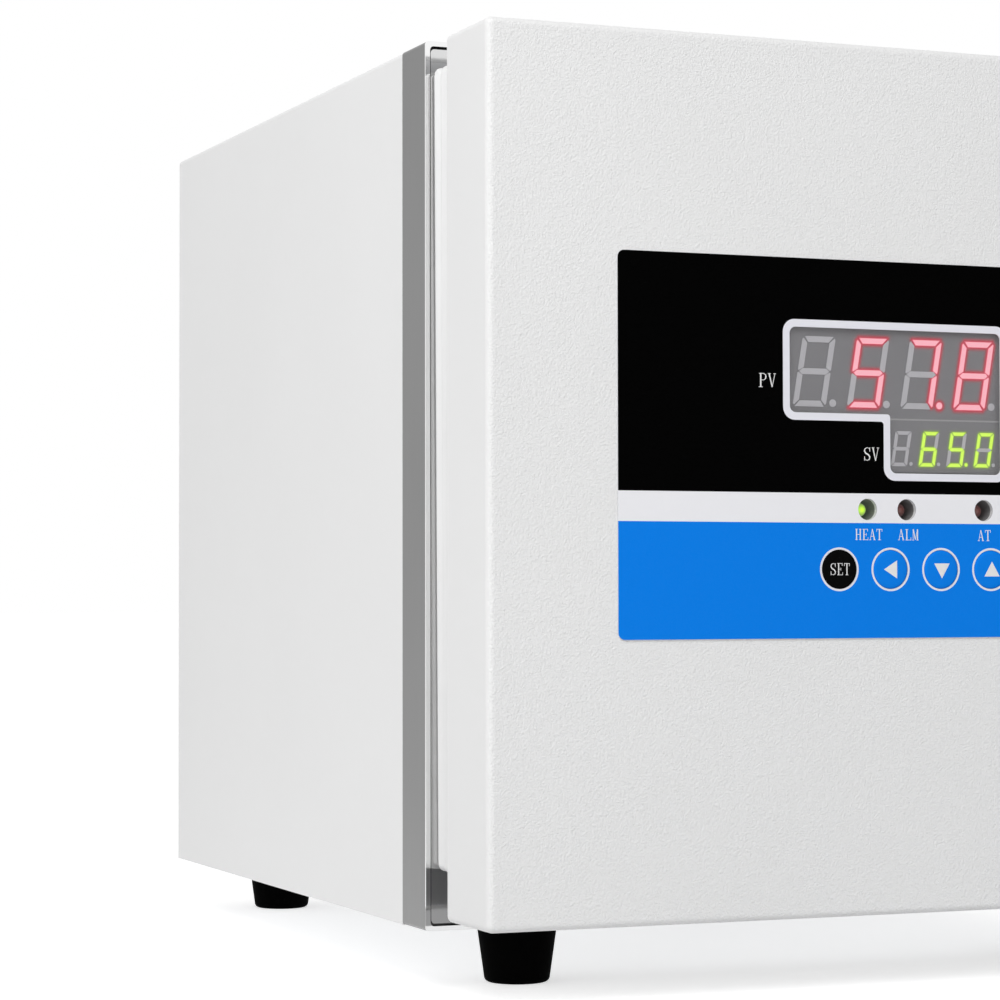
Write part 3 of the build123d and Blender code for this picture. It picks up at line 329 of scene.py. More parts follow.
white_nylon = Finish("white_nylon", grey(0.78), 0.4)
nylon_shade = white_nylon.tint(white_nylon.noise(120.0), (0.74, 0.74, 0.72), (0.80, 0.80, 0.79))
white_nylon.feed("Base Color", nylon_shade)
white_nylon.relief(white_nylon.noise(1800.0, 1.0), 0.00001)
dress(white_nylon, "probe_gland", "terminal_block", "hinge_bush_top", "hinge_bush_bottom")

heater_rubber = Finish("heater_silicone", (0.45, 0.10, 0.05), 0.7)
heater_weave = heater_rubber.noise(700.0, 2.0)
heater_rubber.feed("Base Color", heater_rubber.tint(heater_weave, (0.38, 0.07, 0.03), (0.52, 0.13, 0.07)))
heater_rubber.relief(heater_weave, 0.00008)
dress(heater_rubber, "heater_left", "heater_right", "heater_floor")

wool = Finish("mineral_wool", (0.62, 0.52, 0.30), 0.95)
wool.feed("Base Color", wool.tint(wool.noise(300.0, 6.0), (0.50, 0.40, 0.20), (0.72, 0.62, 0.38)))
wool.relief(wool.noise(500.0, 6.0), 0.0006)
dress(wool, "chamber_insulation", "door_insulation")

chrome_wire = Finish("chrome_wire", grey(0.66), 0.16, Metallic=1.0)
chrome_wire.feed("Roughness", 0.12 + chrome_wire.noise(500.0) * 0.12)
chrome_wire.feed("Base Color", chrome_wire.tint(chrome_wire.noise(90.0), grey(0.60), grey(0.70)))
dress(chrome_wire, "lower_shelf", "upper_shelf")


# The door is a deep steel pan with rounded edges over foam and a pressed stainless liner.
# Its front has a leather-grain powder coat; the grain fades out round the edges.
grain_coat = Finish("grain_coat_white", grey(0.85), 0.55, Specular_IOR_Level=0.3)
grain_none, grain_full = 0.0016, 0.0002
skin_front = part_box("door_skin")[0].y
on_front = grain_coat.ramp(grain_coat.place()[1], skin_front + grain_none, skin_front + grain_full)
grain_cells = grain_coat.node(
    "ShaderNodeTexVoronoi", {"feature": "SMOOTH_F1"},
    {"Vector": grain_coat.node("ShaderNodeTexCoord", {}, {}, "Object"), "Scale": 1400.0, "Smoothness": 0.5})
grain_height = (grain_cells * 0.8 + grain_coat.noise(1000.0, 2.0) * 0.7) * on_front
grain_coat.relief(grain_height, 0.00027)
grain_coat.feed("Roughness", 0.5 + grain_coat.noise(420.0) * 0.1)
grain_coat.feed("Base Color", grain_coat.tint(grain_coat.noise(10.0, 3.0), grey(0.83), grey(0.87)))
dress(grain_coat, "door_skin")


# The seal is a soft white vinyl bellows with a magnet strip, pushed into the door's rear
# edge. Its cabinet side hangs a little to the left at the top and ends higher at the bottom.
def make_piece(name, shape, finish, body, slot, *replaced):
    """A mesh drawn in millimetres becomes a piece that rides on a body."""
    bmesh.ops.scale(shape, vec=(0.001, 0.001, 0.001), verts=shape.verts)
    data = bpy.data.meshes.new(name)
    shape.to_mesh(data)
    shape.free()
    data.materials.append(finish.material)
    data.shade_smooth()
    data.set_sharp_from_angle(angle=math.radians(35.0))
    piece = bpy.data.objects.new(name, data)
    bpy.context.scene.collection.objects.link(piece)
    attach(piece, body)
    if replaced:
        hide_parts(*replaced)


def box_in_mm(name):
    """A node's lowest and highest corners in millimetres."""
    low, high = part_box(name)
    return Vector(low) * 1000.0, Vector(high) * 1000.0


seal_low, seal_high = box_in_mm("door_gasket")
seal_depth = seal_high.y - seal_low.y
seal_width = 14.0
seal_base = 2.0
seal_folds = 3
seal_ridge = 1.3
seal_magnet = 4.5
seal_magnet_inset = 1.5
seal_edge = 0.4
seal_magnet_edge = 0.5
seal_corner = 2.8
seal_least_corner = 0.8
seal_lean = 1.6
seal_lift = 1.0
fold_steps = 6


def seal_loop(shape, inset, depth):
    """One ring of the seal: a square whose corners are moved to their places and rounded."""
    before = set(shape.edges)
    square = bmesh.ops.create_grid(shape, x_segments=1, y_segments=1, size=1.0)["verts"]
    share = depth / seal_depth
    for corner in square:
        x = corner.co.x * (seal_high.x - inset)
        if corner.co.y > 0:
            place = (x - seal_lean * share, seal_low.y + depth, seal_high.z - inset)
        else:
            place = (x, seal_low.y + depth, seal_low.z + inset + seal_lift * share)
        corner.co = place
    bmesh.ops.bevel(shape, geom=square, offset=max(seal_corner - inset, seal_least_corner),
                    affect="VERTICES", segments=5, profile=0.5, material=-1)
    bmesh.ops.delete(shape, geom=shape.faces[:], context="FACES_ONLY")
    return [edge for edge in shape.edges if edge not in before]


seal_half = [(seal_edge, 0.0), (0.0, seal_edge), (0.0, seal_base)]
fold_depth = (seal_depth - seal_magnet - seal_base) / seal_folds
for step in range(1, fold_steps * seal_folds + 1):
    turn = step / fold_steps
    bulge = seal_ridge * (0.5 - 0.5 * math.cos(2 * math.pi * turn))
    seal_half.append((bulge, seal_base + fold_depth * turn))
seal_half.append((seal_magnet_inset, seal_depth - seal_magnet + seal_magnet_edge))
seal_half.append((seal_magnet_inset, seal_depth - seal_magnet_edge))
seal_half.append((seal_magnet_inset + seal_magnet_edge, seal_depth))
seal_profile = seal_half + [(seal_width - inset, depth) for inset, depth in reversed(seal_half)]
seal_rings = bmesh.new()
ring_edges = [seal_loop(seal_rings, inset, depth) for inset, depth in seal_profile]
for index, ring in enumerate(ring_edges):
    bmesh.ops.bridge_loops(seal_rings, edges=ring_edges[index - 1] + ring)
bmesh.ops.recalc_face_normals(seal_rings, faces=seal_rings.faces)
white_vinyl = Finish("white_vinyl", grey(0.82), 0.45)
white_vinyl.feed("Base Color", white_vinyl.tint(white_vinyl.noise(60.0), grey(0.79), grey(0.84)))
white_vinyl.feed("Roughness", 0.4 + white_vinyl.noise(500.0) * 0.12)
white_vinyl.relief(white_vinyl.noise(1200.0, 2.0), 0.00001)
make_piece("seal_bellows", seal_rings, white_vinyl, "door", "gasket_white", "door_gasket")


# The overlay is a printed polyester film on the door's face: black round the displays, a
# white stripe with the lamps and a blue field with the keys. The film has real openings.
overlay_low, overlay_high = box_in_mm("control_overlay")
overlay_corner = 2.5
window_left, window_right, window_step = 67.0, 153.7, 107.6
window_bottom, window_middle, window_top = 59.2, 80.4, 110.9
window_corner = 2.4
window_inner_corner = 1.2
band_width = 2.7
band_corner = 4.6
stripe_low, stripe_high = 41.2, 51.8
ink = 0.05
ring_band = 0.75
key_hole_radius = 7.07
lamp_hole_radius = 3.85
corner_steps = 8
disc_points = 64


def on_panel(x, z):
    """A place given from the overlay's lower left corner."""
    return overlay_low.x + x, overlay_low.z + z


def middle_of(name):
    """The middle of a node, seen from the front."""
    low, high = box_in_mm(name)
    return (low.x + high.x) / 2, (low.z + high.z) / 2


def rounded(corners, radius=0.0):
    """An outline of right-angled corners, each rounded; a corner may bring its own radius."""
    outline = []
    for index, (x, z, *own) in enumerate(corners):
        corner = Vector((x, z))
        reach = own[0] if own else radius
        before = (Vector(corners[index - 1][:2]) - corner).normalized() * reach
        after = (Vector(corners[(index + 1) % len(corners)][:2]) - corner).normalized() * reach
        for step in range(corner_steps + 1 if reach else 1):
            turn = math.pi / 2 / corner_steps * step
            outline.append(corner + before * (1 - math.sin(turn)) + after * (1 - math.cos(turn)))
    return outline


def disc(centre, radius):
    """A round outline."""
    turns = [2 * math.pi / disc_points * step for step in range(disc_points)]
    return [(centre[0] + radius * math.cos(turn), centre[1] + radius * math.sin(turn)) for turn in turns]


def window_outline(margin, radius, inner_radius):
    """The stepped outline of the display window, moved outwards by a margin."""
    left, bottom = on_panel(window_left - margin, window_bottom - margin)
    right, top = on_panel(window_right + margin, window_top + margin)
    step, middle = on_panel(window_step - margin, window_middle - margin)
    return rounded([(left, middle), (left, top), (right, top), (right, bottom), (step, bottom),
                    (step, middle, inner_radius)], radius)


def cut_sheet(shape, outlines, front, thickness):
    """Adds a flat sheet to a mesh: outlines with their holes, filled, raised and stood up."""
    curve = bpy.data.curves.new("outline", "CURVE")
    curve.dimensions = "2D"
    curve.fill_mode = "BOTH"
    curve.extrude = thickness / 2
    for outline in outlines:
        spline = curve.splines.new("POLY")
        spline.points.add(len(outline) - 1)
        for point, (x, z) in zip(spline.points, outline):
            point.co = (x, z, 0.0, 1.0)
        spline.use_cyclic_u = True
    holder = bpy.data.objects.new("outline", curve)
    flat = bpy.data.meshes.new_from_object(holder)
    upright = Matrix.Rotation(math.pi / 2, 4, "X")
    flat.transform(Matrix.Translation((0.0, front + thickness / 2, 0.0)) @ upright)
    shape.from_mesh(flat)
    bmesh.ops.remove_doubles(shape, verts=shape.verts, dist=0.0002)
    bmesh.ops.recalc_face_normals(shape, faces=shape.faces)
    bpy.data.objects.remove(holder)
    bpy.data.curves.remove(curve)
    bpy.data.meshes.remove(flat)


def print_finish(name, colour, speckle):
    """A matt ink or key plastic with a fine grain."""
    print_ink = Finish(name, colour, 0.5, Specular_IOR_Level=0.0)
    grain = print_ink.noise(2600.0, 2.0)
    lighter = [shade + speckle for shade in colour]
    print_ink.feed("Base Color", print_ink.tint(grain, colour, lighter))
    print_ink.feed("Roughness", 0.42 + grain * 0.2)
    return print_ink.relief(grain, 0.00001)


key_names = ("key_set", "key_shift", "key_down", "key_up")
lamp_names = ("lamp_heat", "lamp_alarm", "lamp_tune")
key_spots = [middle_of(name) for name in key_names]
lamp_spots = [middle_of(name) for name in lamp_names]
left, right = overlay_low.x, overlay_high.x
stripe_floor, stripe_top = overlay_low.z + stripe_low, overlay_low.z + stripe_high
full_panel = rounded([(left, overlay_low.z), (left, overlay_high.z), (right, overlay_high.z),
                      (right, overlay_low.z)], overlay_corner)
lamp_holes = [disc(spot, lamp_hole_radius) for spot in lamp_spots]
key_holes = [disc(spot, key_hole_radius) for spot in key_spots]
key_rings = [disc(spot, key_hole_radius + ring_band) for spot in key_spots]
window_opening = window_outline(0.0, window_corner, window_inner_corner)
window_frame = window_outline(band_width, band_corner, window_inner_corner)

film = bmesh.new()
cut_sheet(film, [full_panel, window_opening, *lamp_holes, *key_holes], overlay_low.y + ink,
          overlay_high.y - overlay_low.y - ink)
film_finish = print_finish("overlay_film", (0.62, 0.62, 0.64), 0.05)
make_piece("overlay_film", film, film_finish, "door", "overlay_film", "control_overlay")


def print_layer(name, finish, *sheets):
    """One ink on the film's face: flat sheets, each an outline with its holes."""
    layer = bmesh.new()
    for outlines in sheets:
        cut_sheet(layer, outlines, overlay_low.y, ink)
    make_piece(name, layer, finish, "door", "overlay_film")


black_field = rounded([(left, stripe_top), (left, overlay_high.z, overlay_corner),
                       (right, overlay_high.z, overlay_corner), (right, stripe_top)])
white_stripe = rounded([(left, stripe_floor), (left, stripe_top), (right, stripe_top),
                        (right, stripe_floor)])
blue_field = rounded([(left, overlay_low.z, overlay_corner), (left, stripe_floor),
                      (right, stripe_floor), (right, overlay_low.z, overlay_corner)])
ink_black = print_finish("ink_black", grey(0.0004), 0.0024)
ink_white = print_finish("ink_white", (0.87, 0.87, 0.90), 0.03)
ink_blue = print_finish("ink_blue", (0.0, 0.215, 0.84), 0.012)
ink_pale_grey = print_finish("ink_pale_grey", (0.82, 0.82, 0.88), 0.03)
print_layer("overlay_black", ink_black, [black_field, window_frame])
print_layer("overlay_stripe", ink_white, [white_stripe, *lamp_holes])
print_layer("overlay_blue", ink_blue, [blue_field, *key_rings])
print_layer("overlay_bands", ink_pale_grey, [window_frame, window_opening], *zip(key_rings, key_holes))


# The labels are narrow serif capitals printed in white beside the displays and under the
# lamps. Each letter is drawn as thick and thin strokes in a cell one wide and one high.
thick, medium, thin = 0.17, 0.12, 0.07
letters = {
    "P": [[(0.24, 0, thick), (0.24, 1, thick)], [(0.0, 0.0, thin), (0.48, 0.0, thin)],
          [(0.02, 0.97, thin), (0.6, 0.97, thin), (0.84, 0.88, medium), (0.88, 0.74, thick),
           (0.84, 0.6, medium), (0.6, 0.5, thin), (0.24, 0.5, thin)]],
    "V": [[(0.14, 1, thick), (0.52, 0, medium)], [(0.88, 1, thin), (0.52, 0, thin)],
          [(0.0, 0.97, thin), (0.36, 0.97, thin)], [(0.68, 0.97, thin), (1.0, 0.97, thin)]],
    "S": [[(0.86, 0.74, thin), (0.8, 0.92, thin), (0.5, 0.98, thin), (0.2, 0.88, medium),
           (0.14, 0.72, thick), (0.3, 0.56, thick), (0.68, 0.44, thick), (0.86, 0.28, thick),
           (0.8, 0.1, medium), (0.5, 0.02, thin), (0.2, 0.08, thin), (0.14, 0.28, thin)],
          [(0.86, 0.68, thin), (0.86, 1.0, thin)], [(0.14, 0.0, thin), (0.14, 0.32, thin)]],
    "H": [[(0.2, 0, thick), (0.2, 1, thick)], [(0.8, 0, thick), (0.8, 1, thick)],
          [(0.2, 0.5, thin), (0.8, 0.5, thin)],
          [(0.02, 0.03, thin), (0.38, 0.03, thin)], [(0.62, 0.03, thin), (0.98, 0.03, thin)],
          [(0.02, 0.97, thin), (0.38, 0.97, thin)], [(0.62, 0.97, thin), (0.98, 0.97, thin)]],
    "E": [[(0.26, 0, thick), (0.26, 1, thick)], [(0.04, 0.97, thin), (0.88, 0.97, thin)],
          [(0.26, 0.5, thin), (0.66, 0.5, thin)], [(0.04, 0.03, thin), (0.94, 0.03, thin)],
          [(0.86, 0.78, thin), (0.86, 1, thin)], [(0.64, 0.38, thin), (0.64, 0.62, thin)],
          [(0.92, 0, thin), (0.92, 0.24, thin)]],
    "A": [[(0.48, 1, thin), (0.14, 0, thin)], [(0.48, 1, medium), (0.84, 0, thick)],
          [(0.26, 0.34, thin), (0.7, 0.34, thin)],
          [(0.0, 0.03, thin), (0.3, 0.03, thin)], [(0.66, 0.03, thin), (1.0, 0.03, thin)]],
    "T": [[(0.5, 0, thick), (0.5, 1, thick)], [(0.06, 0.97, thin), (0.94, 0.97, thin)],
          [(0.28, 0.03, thin), (0.72, 0.03, thin)], [(0.08, 0.76, thin), (0.08, 1, thin)],
          [(0.92, 0.76, thin), (0.92, 1, thin)]],
    "L": [[(0.26, 0, thick), (0.26, 1, thick)], [(0.04, 0.97, thin), (0.48, 0.97, thin)],
          [(0.04, 0.03, thin), (0.94, 0.03, thin)], [(0.92, 0, thin), (0.92, 0.26, thin)]],
    "M": [[(0.14, 0, thin), (0.14, 1, thin)], [(0.84, 0, thick), (0.84, 1, thick)],
          [(0.16, 1, thick), (0.5, 0.06, medium)], [(0.84, 1, thin), (0.5, 0.06, thin)],
          [(0.0, 0.03, thin), (0.28, 0.03, thin)],
          [(0.68, 0.03, thin), (1.0, 0.03, thin)]],
}
letter_gap = 0.12
letter_ink = 0.03
stroke_step = 0.002


def stroke_outline(path, place, size):
    """The outline of a stroke, a ribbon whose width changes along its path."""
    points = [Vector((place[0] + x * size[0], place[1] + z * size[1])) for x, z, weight in path]
    above, below = [], []
    for index, point in enumerate(points):
        along = points[min(index + 1, len(points) - 1)] - points[max(index - 1, 0)]
        beside = Vector((-along.y, along.x)).normalized() * path[index][2] * size[0] / 2
        above.append(point + beside)
        below.append(point - beside)
    return above + below[::-1]


def word(name, text, low, high, front, finish, body):
    """A printed word between two corners; each stroke of a letter lies a hair behind the last."""
    lettering = bmesh.new()
    pitch = (high[0] - low[0]) / (len(text) - letter_gap)
    size = (pitch * (1 - letter_gap), high[1] - low[1])
    for index, letter in enumerate(text):
        place = (low[0] + pitch * index, low[1])
        for turn, path in enumerate(letters[letter]):
            sunk = stroke_step * turn
            cut_sheet(lettering, [stroke_outline(path, place, size)], front + sunk, letter_ink - sunk)
    make_piece(name, lettering, finish, body, "overlay_film")


label_ink = print_finish("ink_label", grey(0.82), 0.03)
label_front = overlay_low.y - letter_ink
labels = (("label_pv", "PV", on_panel(54.7, 89.1), on_panel(61.5, 94.0)),
          ("label_sv", "SV", on_panel(96.6, 63.6), on_panel(103.0, 68.4)),
          ("label_heat", "HEAT", on_panel(93.1, 35.1), on_panel(104.2, 39.1)),
          ("label_alm", "ALM", on_panel(110.6, 35.1), on_panel(119.0, 39.1)),
          ("label_at", "AT", on_panel(143.8, 35.0), on_panel(149.3, 39.0)))
for name, text, low, high in labels:
    word(name, text, low, high, label_front, label_ink, "door")


# The displays are two four-digit modules behind a clear pane. Each digit has seven slanted
# bars and a point, moulded in pale plastic; the lit ones glow red above and green below.
module_front = box_in_mm("pv_display")[0].y
bar_width = 13.3
bar_rise = 25.2
bar_slant = 0.17
bar_thickness = 0.2
bar_rim = 0.26
point_radius = 1.35
lit_point = 2
painted_glow_behind = 0.06
painted_glow_spacing = 0.55
all_bars = "top upper_left upper_right middle lower_left lower_right bottom".split()
lit_bars = {
    "0": [bar for bar in all_bars if bar != "middle"],
    "5": ("top", "upper_left", "middle", "lower_right", "bottom"),
    "6": [bar for bar in all_bars if bar != "upper_right"],
    "7": ("top", "upper_right", "lower_right"),
    "8": all_bars,
    " ": (),
}


def bar_shapes(stroke):
    """The seven bars of a digit that stands upright, mitred with narrow gaps between them."""
    wide, high, half = bar_width, bar_rise, bar_rise / 2
    inner, tip = stroke + 0.4, stroke / 2 + 0.75
    top = [(0.8, high), (wide - 0.8, high), (wide - inner, high - stroke), (inner, high - stroke)]
    upper_left = [(0.0, high - 1.1), (0.42, high - 0.68), (stroke, high - stroke - 0.26),
                  (stroke, half + stroke / 2 + 0.35), (0.38, half + 0.3), (0.0, half + 0.62)]
    middle = [(0.62, half), (tip, half + stroke / 2), (wide - tip, half + stroke / 2), (wide - 0.62, half),
              (wide - tip, half - stroke / 2), (tip, half - stroke / 2)]
    shapes = {"top": top, "upper_left": upper_left, "middle": middle}
    shapes["bottom"] = [(x, high - z) for x, z in top]
    shapes["lower_left"] = [(x, high - z) for x, z in upper_left]
    shapes["upper_right"] = [(wide - x, z) for x, z in upper_left]
    shapes["lower_right"] = [(wide - x, high - z) for x, z in upper_left]
    return shapes


def digit_outlines(text, corner, pitch, scale, stroke, first_point):
    """The lit and unlit outlines of a row of digits, with the points after them."""
    lit, unlit = [], []
    for index, digit in enumerate(text):
        left = corner[0] + pitch * index
        for bar, shape in bar_shapes(stroke).items():
            outline = [(left + (x + bar_slant * z) * scale, corner[1] + z * scale) for x, z in shape]
            (lit if bar in lit_bars[digit] else unlit).append(outline)
        point = disc((first_point[0] + pitch * index, first_point[1]), point_radius * scale)
        (lit if index == lit_point else unlit).append(point)
    return lit, unlit


def bars(name, outlines, finish, scale):
    """Thin bars on a module's face, with a rim that is marked apart from their middle."""
    plate = bmesh.new()
    cut_sheet(plate, outlines, module_front - bar_thickness, bar_thickness)
    core = plate.verts.layers.float.new("core")
    face = [side for side in plate.faces if side.normal.y < -0.9]
    bmesh.ops.inset_region(plate, faces=face, thickness=bar_rim * scale, use_even_offset=True,
                           use_boundary=True)
    for side in face:
        for corner in side.verts:
            corner[core] = 1.0
    make_piece(name, plate, finish, "door", "display_face")


def edge_distance(spot, outline):
    """The distance from a spot to the nearest edge of an outline."""
    nearest = math.inf
    for index, end in enumerate(outline):
        start, end = Vector(outline[index - 1]), Vector(end)
        share = (spot - start).dot(end - start) / (end - start).length_squared
        nearest = min(nearest, (start + (end - start) * min(max(share, 0.0), 1.0) - spot).length)
    return nearest


def glow_sheet(name, outlines, finish, spacing, reach):
    """A fine sheet over the lit bars, glowing as painted light that falls off with the distance from them."""
    points = [point for outline in outlines for point in outline]
    low = (min(p[0] for p in points) - 2 * reach, min(p[1] for p in points) - 2 * reach)
    high = (max(p[0] for p in points) + 2 * reach, max(p[1] for p in points) + 2 * reach)
    across, up = high[0] - low[0], high[1] - low[1]
    painted_glow = bmesh.new()
    glow = painted_glow.verts.layers.float.new("glow")
    bmesh.ops.create_grid(painted_glow, x_segments=round(across / spacing), y_segments=round(up / spacing),
                          size=0.5)
    for vertex in painted_glow.verts:
        spot = Vector((low[0] + across * (vertex.co.x + 0.5), low[1] + up * (vertex.co.y + 0.5)))
        nearest = min(edge_distance(spot, outline) for outline in outlines)
        vertex[glow] = math.exp(-(nearest / reach) ** 2)
        vertex.co = (spot.x, module_front - painted_glow_behind, spot.y)
    bmesh.ops.reverse_faces(painted_glow, faces=painted_glow.faces)
    make_piece(name, painted_glow, finish, "door", "display_face")


def light_finish(name, core, rim):
    """A lit bar: paler in the middle, deeper at its rim."""
    glow = Finish(name, grey(0.0), 0.5, Emission_Strength=1.0)
    middle = glow.node("ShaderNodeAttribute", {"attribute_name": "core"}, {}, "Fac")
    glow.feed("Emission Color", glow.tint(middle, rim, core))
    return glow


def painted_glow_finish(name, colour, strength):
    """The painted glow round lit bars, which fades to nothing."""
    painted_glow = Finish(name, grey(0.0), 1.0, Emission_Strength=1.0, Specular_IOR_Level=0.0)
    painted_glow.surface.inputs["Emission Color"].default_value = (*colour, 1.0)
    painted_glow.feed("Alpha", painted_glow.node("ShaderNodeAttribute", {"attribute_name": "glow"}, {}, "Fac") * strength)
    return painted_glow


face_grey = Finish("display_face", (0.150, 0.146, 0.158), 0.5)
face_shade = face_grey.tint(face_grey.noise(900.0), (0.140, 0.136, 0.148), (0.165, 0.160, 0.172))
face_grey.feed("Base Color", face_shade)
face_grey.relief(face_grey.noise(2500.0), 0.00001)
dress(face_grey, "pv_display", "sv_display")
pale_bar = Finish("bar_unlit", (0.48, 0.47, 0.50), 0.4)
pale_bar.feed("Base Color", pale_bar.tint(pale_bar.noise(300.0), (0.46, 0.45, 0.48), (0.52, 0.51, 0.54)))
red_light = light_finish("bar_red", (1.0, 0.42, 0.50), (0.85, 0.06, 0.14))
green_light = light_finish("bar_green", (0.66, 1.0, 0.04), (0.38, 0.78, 0.02))
red_painted_glow = painted_glow_finish("painted_glow_red", (0.60, 0.015, 0.05), 0.85)
green_painted_glow = painted_glow_finish("painted_glow_green", (0.35, 0.55, 0.03), 0.45)


def reading(name, text, corner, pitch, scale, stroke, first_point, light, painted_glow, reach):
    """A row of digits from its lower left corner: unlit bars, lit bars and a sheet of painted glow over them.
    """
    lit, unlit = digit_outlines(text, corner, pitch, scale, stroke, first_point)
    bars(name + "_bars_unlit", unlit, pale_bar, scale)
    bars(name + "_bars_lit", lit, light, scale)
    # Painted light: a glowing sheet over the lit bars stands in for the light they spill on the face round
    # them.
    glow_sheet(name + "_painted_glow", lit, painted_glow, painted_glow_spacing * scale ** 0.5, reach)


reading("pv", " 578", corner=on_panel(69.1, 82.7), pitch=21.9, scale=1.0, stroke=2.15,
        first_point=on_panel(85.3, 84.1), light=red_light, painted_glow=red_painted_glow, reach=0.85)
reading("sv", " 650", corner=on_panel(108.8, 61.9), pitch=11.5, scale=0.504, stroke=2.6,
        first_point=on_panel(117.2, 62.8), light=green_light, painted_glow=green_painted_glow, reach=0.5)

divider_bottom, divider_top = 78.5, 79.1
divider_overlap = 0.4
divider_thickness = 0.12
divider_left, divider_floor = on_panel(window_step - divider_overlap, divider_bottom)
divider_right, divider_roof = on_panel(window_right + divider_overlap, divider_top)
divider_outline = rounded([(divider_left, divider_floor), (divider_left, divider_roof),
                           (divider_right, divider_roof), (divider_right, divider_floor)])
divider = bmesh.new()
cut_sheet(divider, [divider_outline], module_front - divider_thickness, divider_thickness)
divider_tape = Finish("divider_tape", (0.30, 0.29, 0.30), 0.5)
divider_tape.feed("Base Color", divider_tape.tint(divider_tape.noise(400.0), grey(0.27), grey(0.34)))
make_piece("display_divider", divider, divider_tape, "door", "display_face")

pane = Finish("clear_pane", grey(0.6), 0.08)
pane.feed("Alpha", 0.07 + pane.noise(40.0) * 0.02)
dress(pane, "display_window")


# The three indicator lamps stand on the board behind their holes, each in a dark sleeve. The
# first is lit; its chip shines at the middle of the lens. The two unlit red lenses carry a faint painted
# glow.
lens_edge, lens_chip = 0.0024, 0.0002


def lamp_lens(name, node, lit, edge, strength):
    """A lamp's coloured lens, brightest on its own axis."""
    lens_finish = Finish(name, edge, 0.2, Emission_Strength=strength)
    x, y, z = lens_finish.place()
    spot_x, spot_z = middle_of(node)
    aside, above = x - spot_x / 1000, z - spot_z / 1000
    near = lens_finish.ramp((aside * aside + above * above) ** 0.5, lens_edge, lens_chip)
    lens_finish.feed("Emission Color", lens_finish.tint(near, edge, lit))
    lens_finish.feed("Base Color", lens_finish.tint(near, edge, lit))
    dress(lens_finish, node)


lamp_lens("lamp_green", "lamp_heat", (0.50, 0.85, 0.03), (0.13, 0.18, 0.11), 1.0)
# Painted light: the two unlit red lenses glow faintly though they are off.
lamp_lens("lamp_red_one", "lamp_alarm", (0.12, 0.035, 0.03), (0.09, 0.06, 0.06), 0.5)
lamp_lens("lamp_red_two", "lamp_tune", (0.12, 0.035, 0.03), (0.09, 0.06, 0.06), 0.5)
sleeve_plastic = Finish("sleeve_dark_grey", grey(0.22), 0.5)
sleeve_plastic.feed("Base Color", sleeve_plastic.tint(sleeve_plastic.noise(700.0), grey(0.20), grey(0.25)))
sleeve_plastic.relief(sleeve_plastic.noise(1500.0), 0.00001)
dress(sleeve_plastic, "lamp_sleeves")


# The keys are low round caps with a crowned edge, one black and three blue, turned as one
# piece with the collar and stem behind. Their marks are printed in white.
key_low, key_high = box_in_mm("key_set")
door_sheet = 1.2
collar_clearance = 0.3
key_radius = 6.95
key_collar_radius = 8.25
key_collar_thickness = 1.0
key_stem_radius = 2.0
mark_ink = 0.04
key_front = key_low.y + mark_ink
collar_front = box_in_mm("door_skin")[0].y + door_sheet + collar_clearance
collar_back = collar_front + key_collar_thickness
key_profile = [(0.0, key_front), (5.3, key_front), (6.1, key_front + 0.08), (6.65, key_front + 0.26),
               (key_radius, key_front + 0.6), (key_radius, collar_front),
               (key_collar_radius, collar_front), (key_collar_radius, collar_back),
               (key_stem_radius, collar_back), (key_stem_radius, key_high.y), (0.0, key_high.y)]
key_black = print_finish("key_black", grey(0.002), 0.004)
key_blue = print_finish("key_blue", (0.0, 0.215, 0.84), 0.012)
for name, (x, z) in zip(key_names, key_spots):
    cap = bmesh.new()
    corners = [cap.verts.new((x + radius, y, z)) for radius, y in key_profile]
    edges = [cap.edges.new(pair) for pair in zip(corners, corners[1:])]
    bmesh.ops.spin(cap, geom=corners + edges, cent=(x, 0.0, z), axis=(0.0, 1.0, 0.0), angle=2 * math.pi,
                   steps=72, use_merge=True)
    bmesh.ops.remove_doubles(cap, verts=cap.verts, dist=0.0005)
    bmesh.ops.recalc_face_normals(cap, faces=cap.faces)
    plastic, slot = (key_black, "key_black") if name == "key_set" else (key_blue, "key_blue")
    make_piece(name + "_cap", cap, plastic, name, slot, name)

word("mark_set", "SET", on_panel(82.6, 22.5), on_panel(90.6, 26.8), key_low.y, label_ink, "key_set")
arrows = (("mark_shift", "key_shift", ((104.5, 24.6), (109.85, 21.35), (109.85, 27.85))),
          ("mark_down", "key_down", ((125.2, 26.8), (131.6, 26.8), (128.4, 21.35))),
          ("mark_up", "key_up", ((146.2, 22.1), (152.6, 22.1), (149.4, 27.5))))
for name, body, corners in arrows:
    arrow = bmesh.new()
    cut_sheet(arrow, [[on_panel(*corner) for corner in corners]], key_low.y, mark_ink)
    make_piece(name, arrow, label_ink, body, "overlay_film")


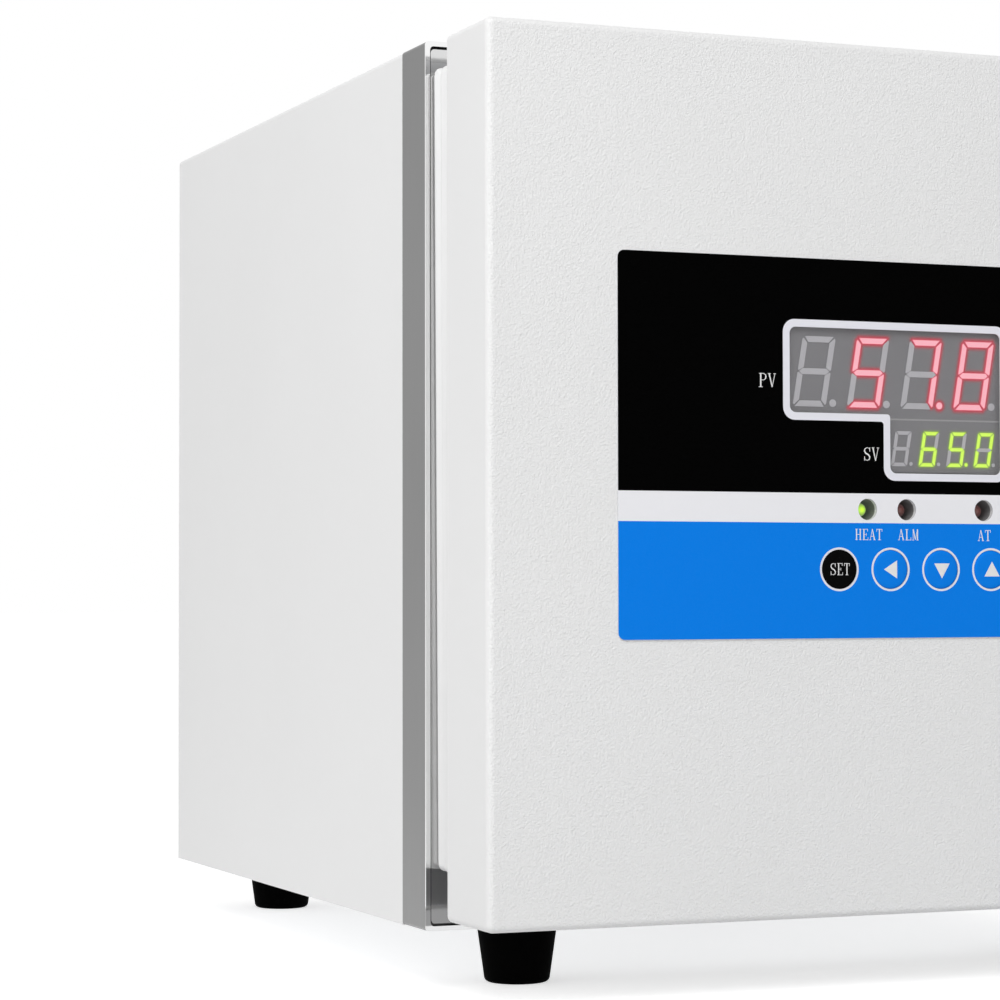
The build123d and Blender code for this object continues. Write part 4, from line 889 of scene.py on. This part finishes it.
# The feet are moulded black rubber. Screws, hinge plates and pins are plated steel, the mains
# parts at the back are black mouldings with brass blades, and the circuit board is green.
foot_rubber = Finish("foot_rubber", grey(0.001), 0.8, Specular_IOR_Level=0.02)
foot_rubber.feed("Base Color", foot_rubber.tint(foot_rubber.noise(400.0), grey(0.0006), grey(0.002)))
foot_rubber.relief(foot_rubber.noise(1500.0, 2.0), 0.00002)
dress(foot_rubber, "foot_front_left", "foot_front_right", "foot_rear_left", "foot_rear_right")

dark_moulding = Finish("dark_moulding", grey(0.03), 0.45)
dark_moulding.feed("Base Color", dark_moulding.tint(dark_moulding.noise(200.0), grey(0.024), grey(0.036)))
dark_moulding.feed("Roughness", 0.38 + dark_moulding.noise(300.0) * 0.15)
dark_moulding.relief(dark_moulding.noise(1600.0, 2.0), 0.00002)
dress(dark_moulding, "thermal_cutout", "heater_relay", "power_inlet", "fuse_drawer", "switch_housing",
      "power_rocker", "key_switches", "board_parts")

plated = Finish("plated_steel", grey(0.60), 0.25, Metallic=1.0)
plated.feed("Base Color", plated.tint(plated.noise(60.0), grey(0.54), grey(0.64)))
plated.feed("Roughness", 0.2 + plated.noise(900.0) * 0.15)
plated.relief(plated.noise(1800.0), 0.000004)
dress(plated, "rear_panel_screws", "foot_screws", "hinge_plate_top", "hinge_plate_bottom", "hinge_pin_top",
      "hinge_pin_bottom", "hinge_screws", "board_posts", "board_screws")
brass = Finish("brass", (0.70, 0.48, 0.20), 0.3, Metallic=1.0)
brass.feed("Roughness", 0.22 + brass.noise(900.0) * 0.15)
brass.feed("Base Color", brass.tint(brass.noise(120.0), (0.64, 0.43, 0.17), (0.74, 0.52, 0.24)))
dress(brass, "inlet_pins")
board_lacquer = Finish("board_lacquer", (0.01, 0.12, 0.05), 0.35)
lacquer_shade = board_lacquer.tint(board_lacquer.noise(150.0), (0.008, 0.10, 0.04), (0.014, 0.15, 0.07))
board_lacquer.feed("Base Color", lacquer_shade)
board_lacquer.relief(board_lacquer.noise(1200.0), 0.00002)
dress(board_lacquer, "control_board")
